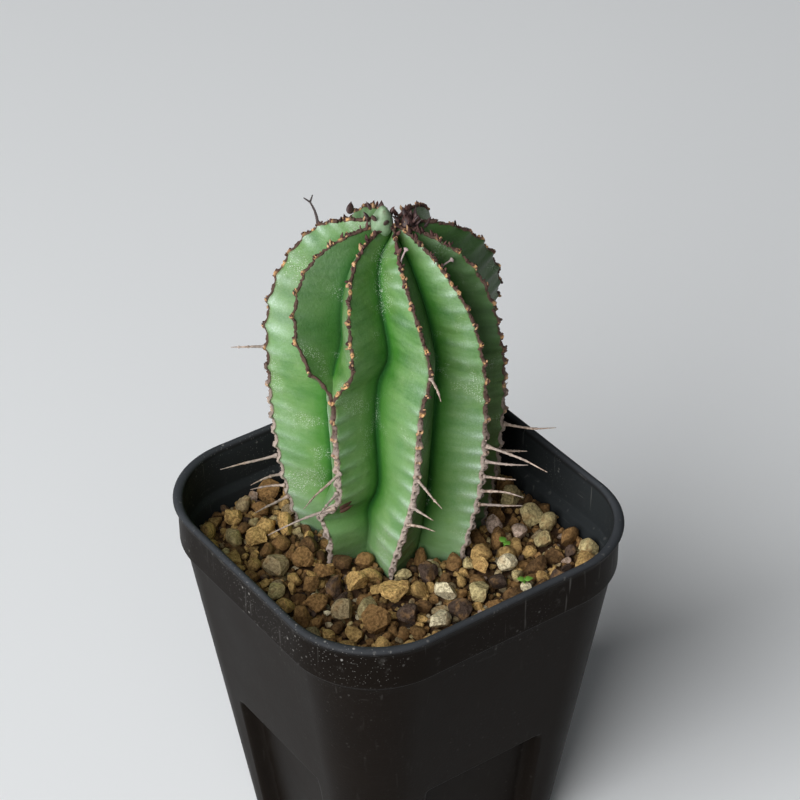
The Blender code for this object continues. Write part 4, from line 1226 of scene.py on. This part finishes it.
def gravel():
    """Grains thrown one by one at free spots of the bed, the largest first."""
    source = np.random.default_rng(21)
    spots = [[*middle[:2], max(reach[:2])] for middle, reach in stone_boxes]
    outline = stem_outline(BED_LEVEL + 2 * MM)
    grains = []
    for lowest, highest, tries, overlap, lift in GRAIN_SIZES:
        for _ in range(tries):
            radius = source.uniform(lowest, highest) * MM
            x, y = source.uniform(-THROW_REACH, THROW_REACH, 2)
            if wall_distance(x, y, BED_LEVEL + radius) > -radius * 0.85:
                continue
            arm = np.array([x - STEM_X, y - STEM_Y])
            foot = ring_radius(outline, np.array([math.atan2(arm[1], arm[0])]))[0]
            if np.hypot(*arm) < foot + radius * 0.8:
                continue
            near = np.array(spots)
            if (np.hypot(near[:, 0] - x, near[:, 1] - y) < (near[:, 2] + radius) * overlap).any():
                continue
            spots.append([x, y, radius])
            sunk = source.uniform(-0.4, 0.5) * MM - 0.5 * MM
            grains.append([x, y, BED_LEVEL + sunk + radius * (0.75 + lift), radius])
    under = source.uniform(-THROW_REACH, THROW_REACH, (BURIED_THROWS, 2))
    arms = under - [STEM_X, STEM_Y]
    clear = np.hypot(*arms.T) > ring_radius(outline, np.arctan2(arms[:, 1], arms[:, 0])) - 1 * MM
    clear &= wall_distance(under[:, 0], under[:, 1], BED_LEVEL) < -1.2 * MM
    under = under[clear][:BURIED_GRAINS]
    sizes = source.uniform(0.9, 1.6, len(under)) * MM
    bedded = np.column_stack([under, BED_LEVEL - sizes * 0.3, sizes])
    return np.vstack([np.array(grains), bedded]), len(grains)


def lay_gravel():
    """Turn the thrown grains into one mesh of chipped stones with their own colours."""
    grains, loose = gravel()
    source = np.random.default_rng(22)
    ball, faces = icosphere(1)
    shapes = [(chip(ball, source, 7, 0.24), faces) for _ in range(GRAIN_SHAPES)]
    count = len(grains)
    w, x, y, z = unit(source.normal(size=(count, 4))).T
    turns = np.stack([1 - 2 * (y * y + z * z), 2 * (x * y - w * z), 2 * (x * z + w * y),
                      2 * (x * y + w * z), 1 - 2 * (x * x + z * z), 2 * (y * z - w * x),
                      2 * (x * z - w * y), 2 * (y * z + w * x), 1 - 2 * (x * x + y * y)],
                     -1).reshape(-1, 3, 3)
    sizes = grains[:, 3:] * source.uniform(0.66, 1.22, (count, 3))
    names = list(GRAIN_TONES)
    kinds = source.choice(len(names), count, p=GRAIN_CHANCES)
    tones = np.array([GRAIN_TONES[n] for n in names])[kinds] * source.uniform(0.72, 1.15, (count, 1))
    # The grains bedded under the loose ones are drawn at half their colour, so darker between the loose
    # grains.
    tones[loose:] = tones[loose:] * 0.5
    laid = scatter("gravel_grains", shapes, grains[:, :3], turns, sizes,
                   source.integers(0, GRAIN_SHAPES, count), np.clip(tones, 0, 1),
                   "loose_stones", grain_stone)
    laid.data.set_sharp_from_angle(angle=math.radians(36))


grain_stone = Finish("grain_stone", Specular_IOR_Level=0.25)
speckle = grain_stone.noise(1400, 5, 0.7)
clouds = grain_stone.noise(330, 4)
pores = grain_stone.band(grain_stone.cells(1500), 0.22, 0.05)
shade = grain_stone.blend(grain_stone.band(speckle, 0.30, 0.70), (0.45, 0.41, 0.36), (1.45, 1.45, 1.42))
tone = grain_stone.blend(1.0, grain_stone.own("tint", "Color"), shade, "MULTIPLY")
stain = grain_stone.band(clouds, 0.52, 0.68)
tone = grain_stone.blend(stain * 0.45, tone, (0.40, 0.22, 0.085))
grain_stone.drive("Base Color", grain_stone.blend(pores * 0.5, tone, (0.08, 0.05, 0.03)))
grain_stone.drive("Roughness", 0.86 + speckle * 0.1)
grain_stone.relief(speckle * 1.3 + clouds * 1.2 + pores * -0.8, 0.45 * MM)
stone_boxes = [stone(number, kind) for number, kind in enumerate(STONE_KINDS, 1)]
lay_gravel()

# ---- Seedlings -------------------------------------------------------------------
# Two weeds that have just come up through the gravel: a pale stalk with a pair of small
# round seed leaves.
leaf_green = grained("leaf_green", 0.45, 800, 3, (0.07, 0.22, 0.02), (0.20, 0.42, 0.06), 0.42, 0.15, 0.05)
for number in (1, 2):
    low, high = (np.array(corner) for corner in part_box("sprout_%d" % number))
    foot = np.array([(low[0] + high[0]) / 2, (low[1] + high[1]) / 2, low[2]])
    top = foot + [0.2 * MM, 0.1 * MM, (high[2] - low[2]) * 0.78]
    share = np.linspace(0, 1, 16)[:, None]
    grids = [tube(foot + (top - foot) * share, np.full(16, 0.28 * MM))]
    for side in (0.6 + number, 3.7 + number):
        out = np.array([math.cos(side), math.sin(side), 0.25])
        grids.append(leaf_grid(top - [0, 0, 0.2 * MM], unit(out), np.array([0, 0, 1.0]),
                               2.1 * MM, 1.7 * MM, 0.35 * MM, -0.12))
    join_grids("seedling_%d" % number, grids, leaf_green, "sprout_green", "sprout_%d" % number)

# ---- Floor, light and camera -----------------------------------------------------
# Plain pale floor, one large soft light from the left and above, a weak one from the
# front, and a long lens that looks down on the plant.
pale_floor = Finish("pale_floor", Roughness=0.8)
pale_floor.shader.inputs["Base Color"].default_value = (0.86, 0.87, 0.875, 1.0)
FLOOR_SIZE = 6.0
bpy.ops.mesh.primitive_plane_add(size=FLOOR_SIZE)
floor = bpy.context.object
floor.name = "studio_floor"
floor.data.materials.append(pale_floor.material)

world = bpy.data.worlds.new("studio_air")
bpy.context.scene.world = world
world.use_nodes = True
air = world.node_tree.nodes["Background"].inputs
air["Color"].default_value = (0.86, 0.93, 1.0, 1.0)
air["Strength"].default_value = 0.055

AIM = Vector((0.0, 0.0, 0.12))


def soft_light(name, azimuth, elevation, distance, size, power, colour):
    """Square lamp at an azimuth and elevation in degrees, turned towards the object."""
    turn, lift = math.radians(azimuth), math.radians(elevation)
    way = Vector((math.cos(turn) * math.cos(lift), math.sin(turn) * math.cos(lift), math.sin(lift)))
    light = bpy.data.lights.new(name, "AREA")
    light.size = size
    light.energy = power
    light.color = colour
    lamp = bpy.data.objects.new(name, light)
    lamp.location = AIM + way * distance
    lamp.rotation_mode = "QUATERNION"
    lamp.rotation_quaternion = (-way).to_track_quat("-Z", "Y")
    bpy.context.scene.collection.objects.link(lamp)


soft_light("window_left", 194, 31, 2.6, 2.6, 130.0, (0.98, 0.99, 1.0))
soft_light("fill_front", 238, 42, 2.4, 1.6, 5.0, (1.0, 0.98, 0.95))

CAMERA_PLACE = Vector((-0.2841, -0.4057, 0.4863))
CAMERA_YAW = math.radians(-35.2)
CAMERA_PITCH = math.radians(35.7)
CAMERA_ROLL = math.radians(-0.34)
LENS_LENGTH = 118.45
LENS_SHIFT = (-0.0044, -0.0009)
ahead = Vector((-math.sin(CAMERA_YAW) * math.cos(CAMERA_PITCH),
                math.cos(CAMERA_YAW) * math.cos(CAMERA_PITCH), -math.sin(CAMERA_PITCH)))
right = Vector((math.cos(CAMERA_YAW), math.sin(CAMERA_YAW), 0))
over = right.cross(ahead)
right, over = (math.cos(CAMERA_ROLL) * right + math.sin(CAMERA_ROLL) * over,
               math.cos(CAMERA_ROLL) * over - math.sin(CAMERA_ROLL) * right)
lens = bpy.data.cameras.new("camera")
lens.lens = LENS_LENGTH
lens.sensor_width = 36
lens.shift_x, lens.shift_y = LENS_SHIFT
lens.clip_start = 0.01
camera = bpy.data.objects.new("camera", lens)
camera.matrix_world = Matrix.Translation(CAMERA_PLACE) @ Matrix(
    (right, over, -ahead)).transposed().to_4x4()
bpy.context.scene.collection.objects.link(camera)
bpy.context.scene.camera = camera
bpy.context.scene.view_settings.view_transform = "Standard"
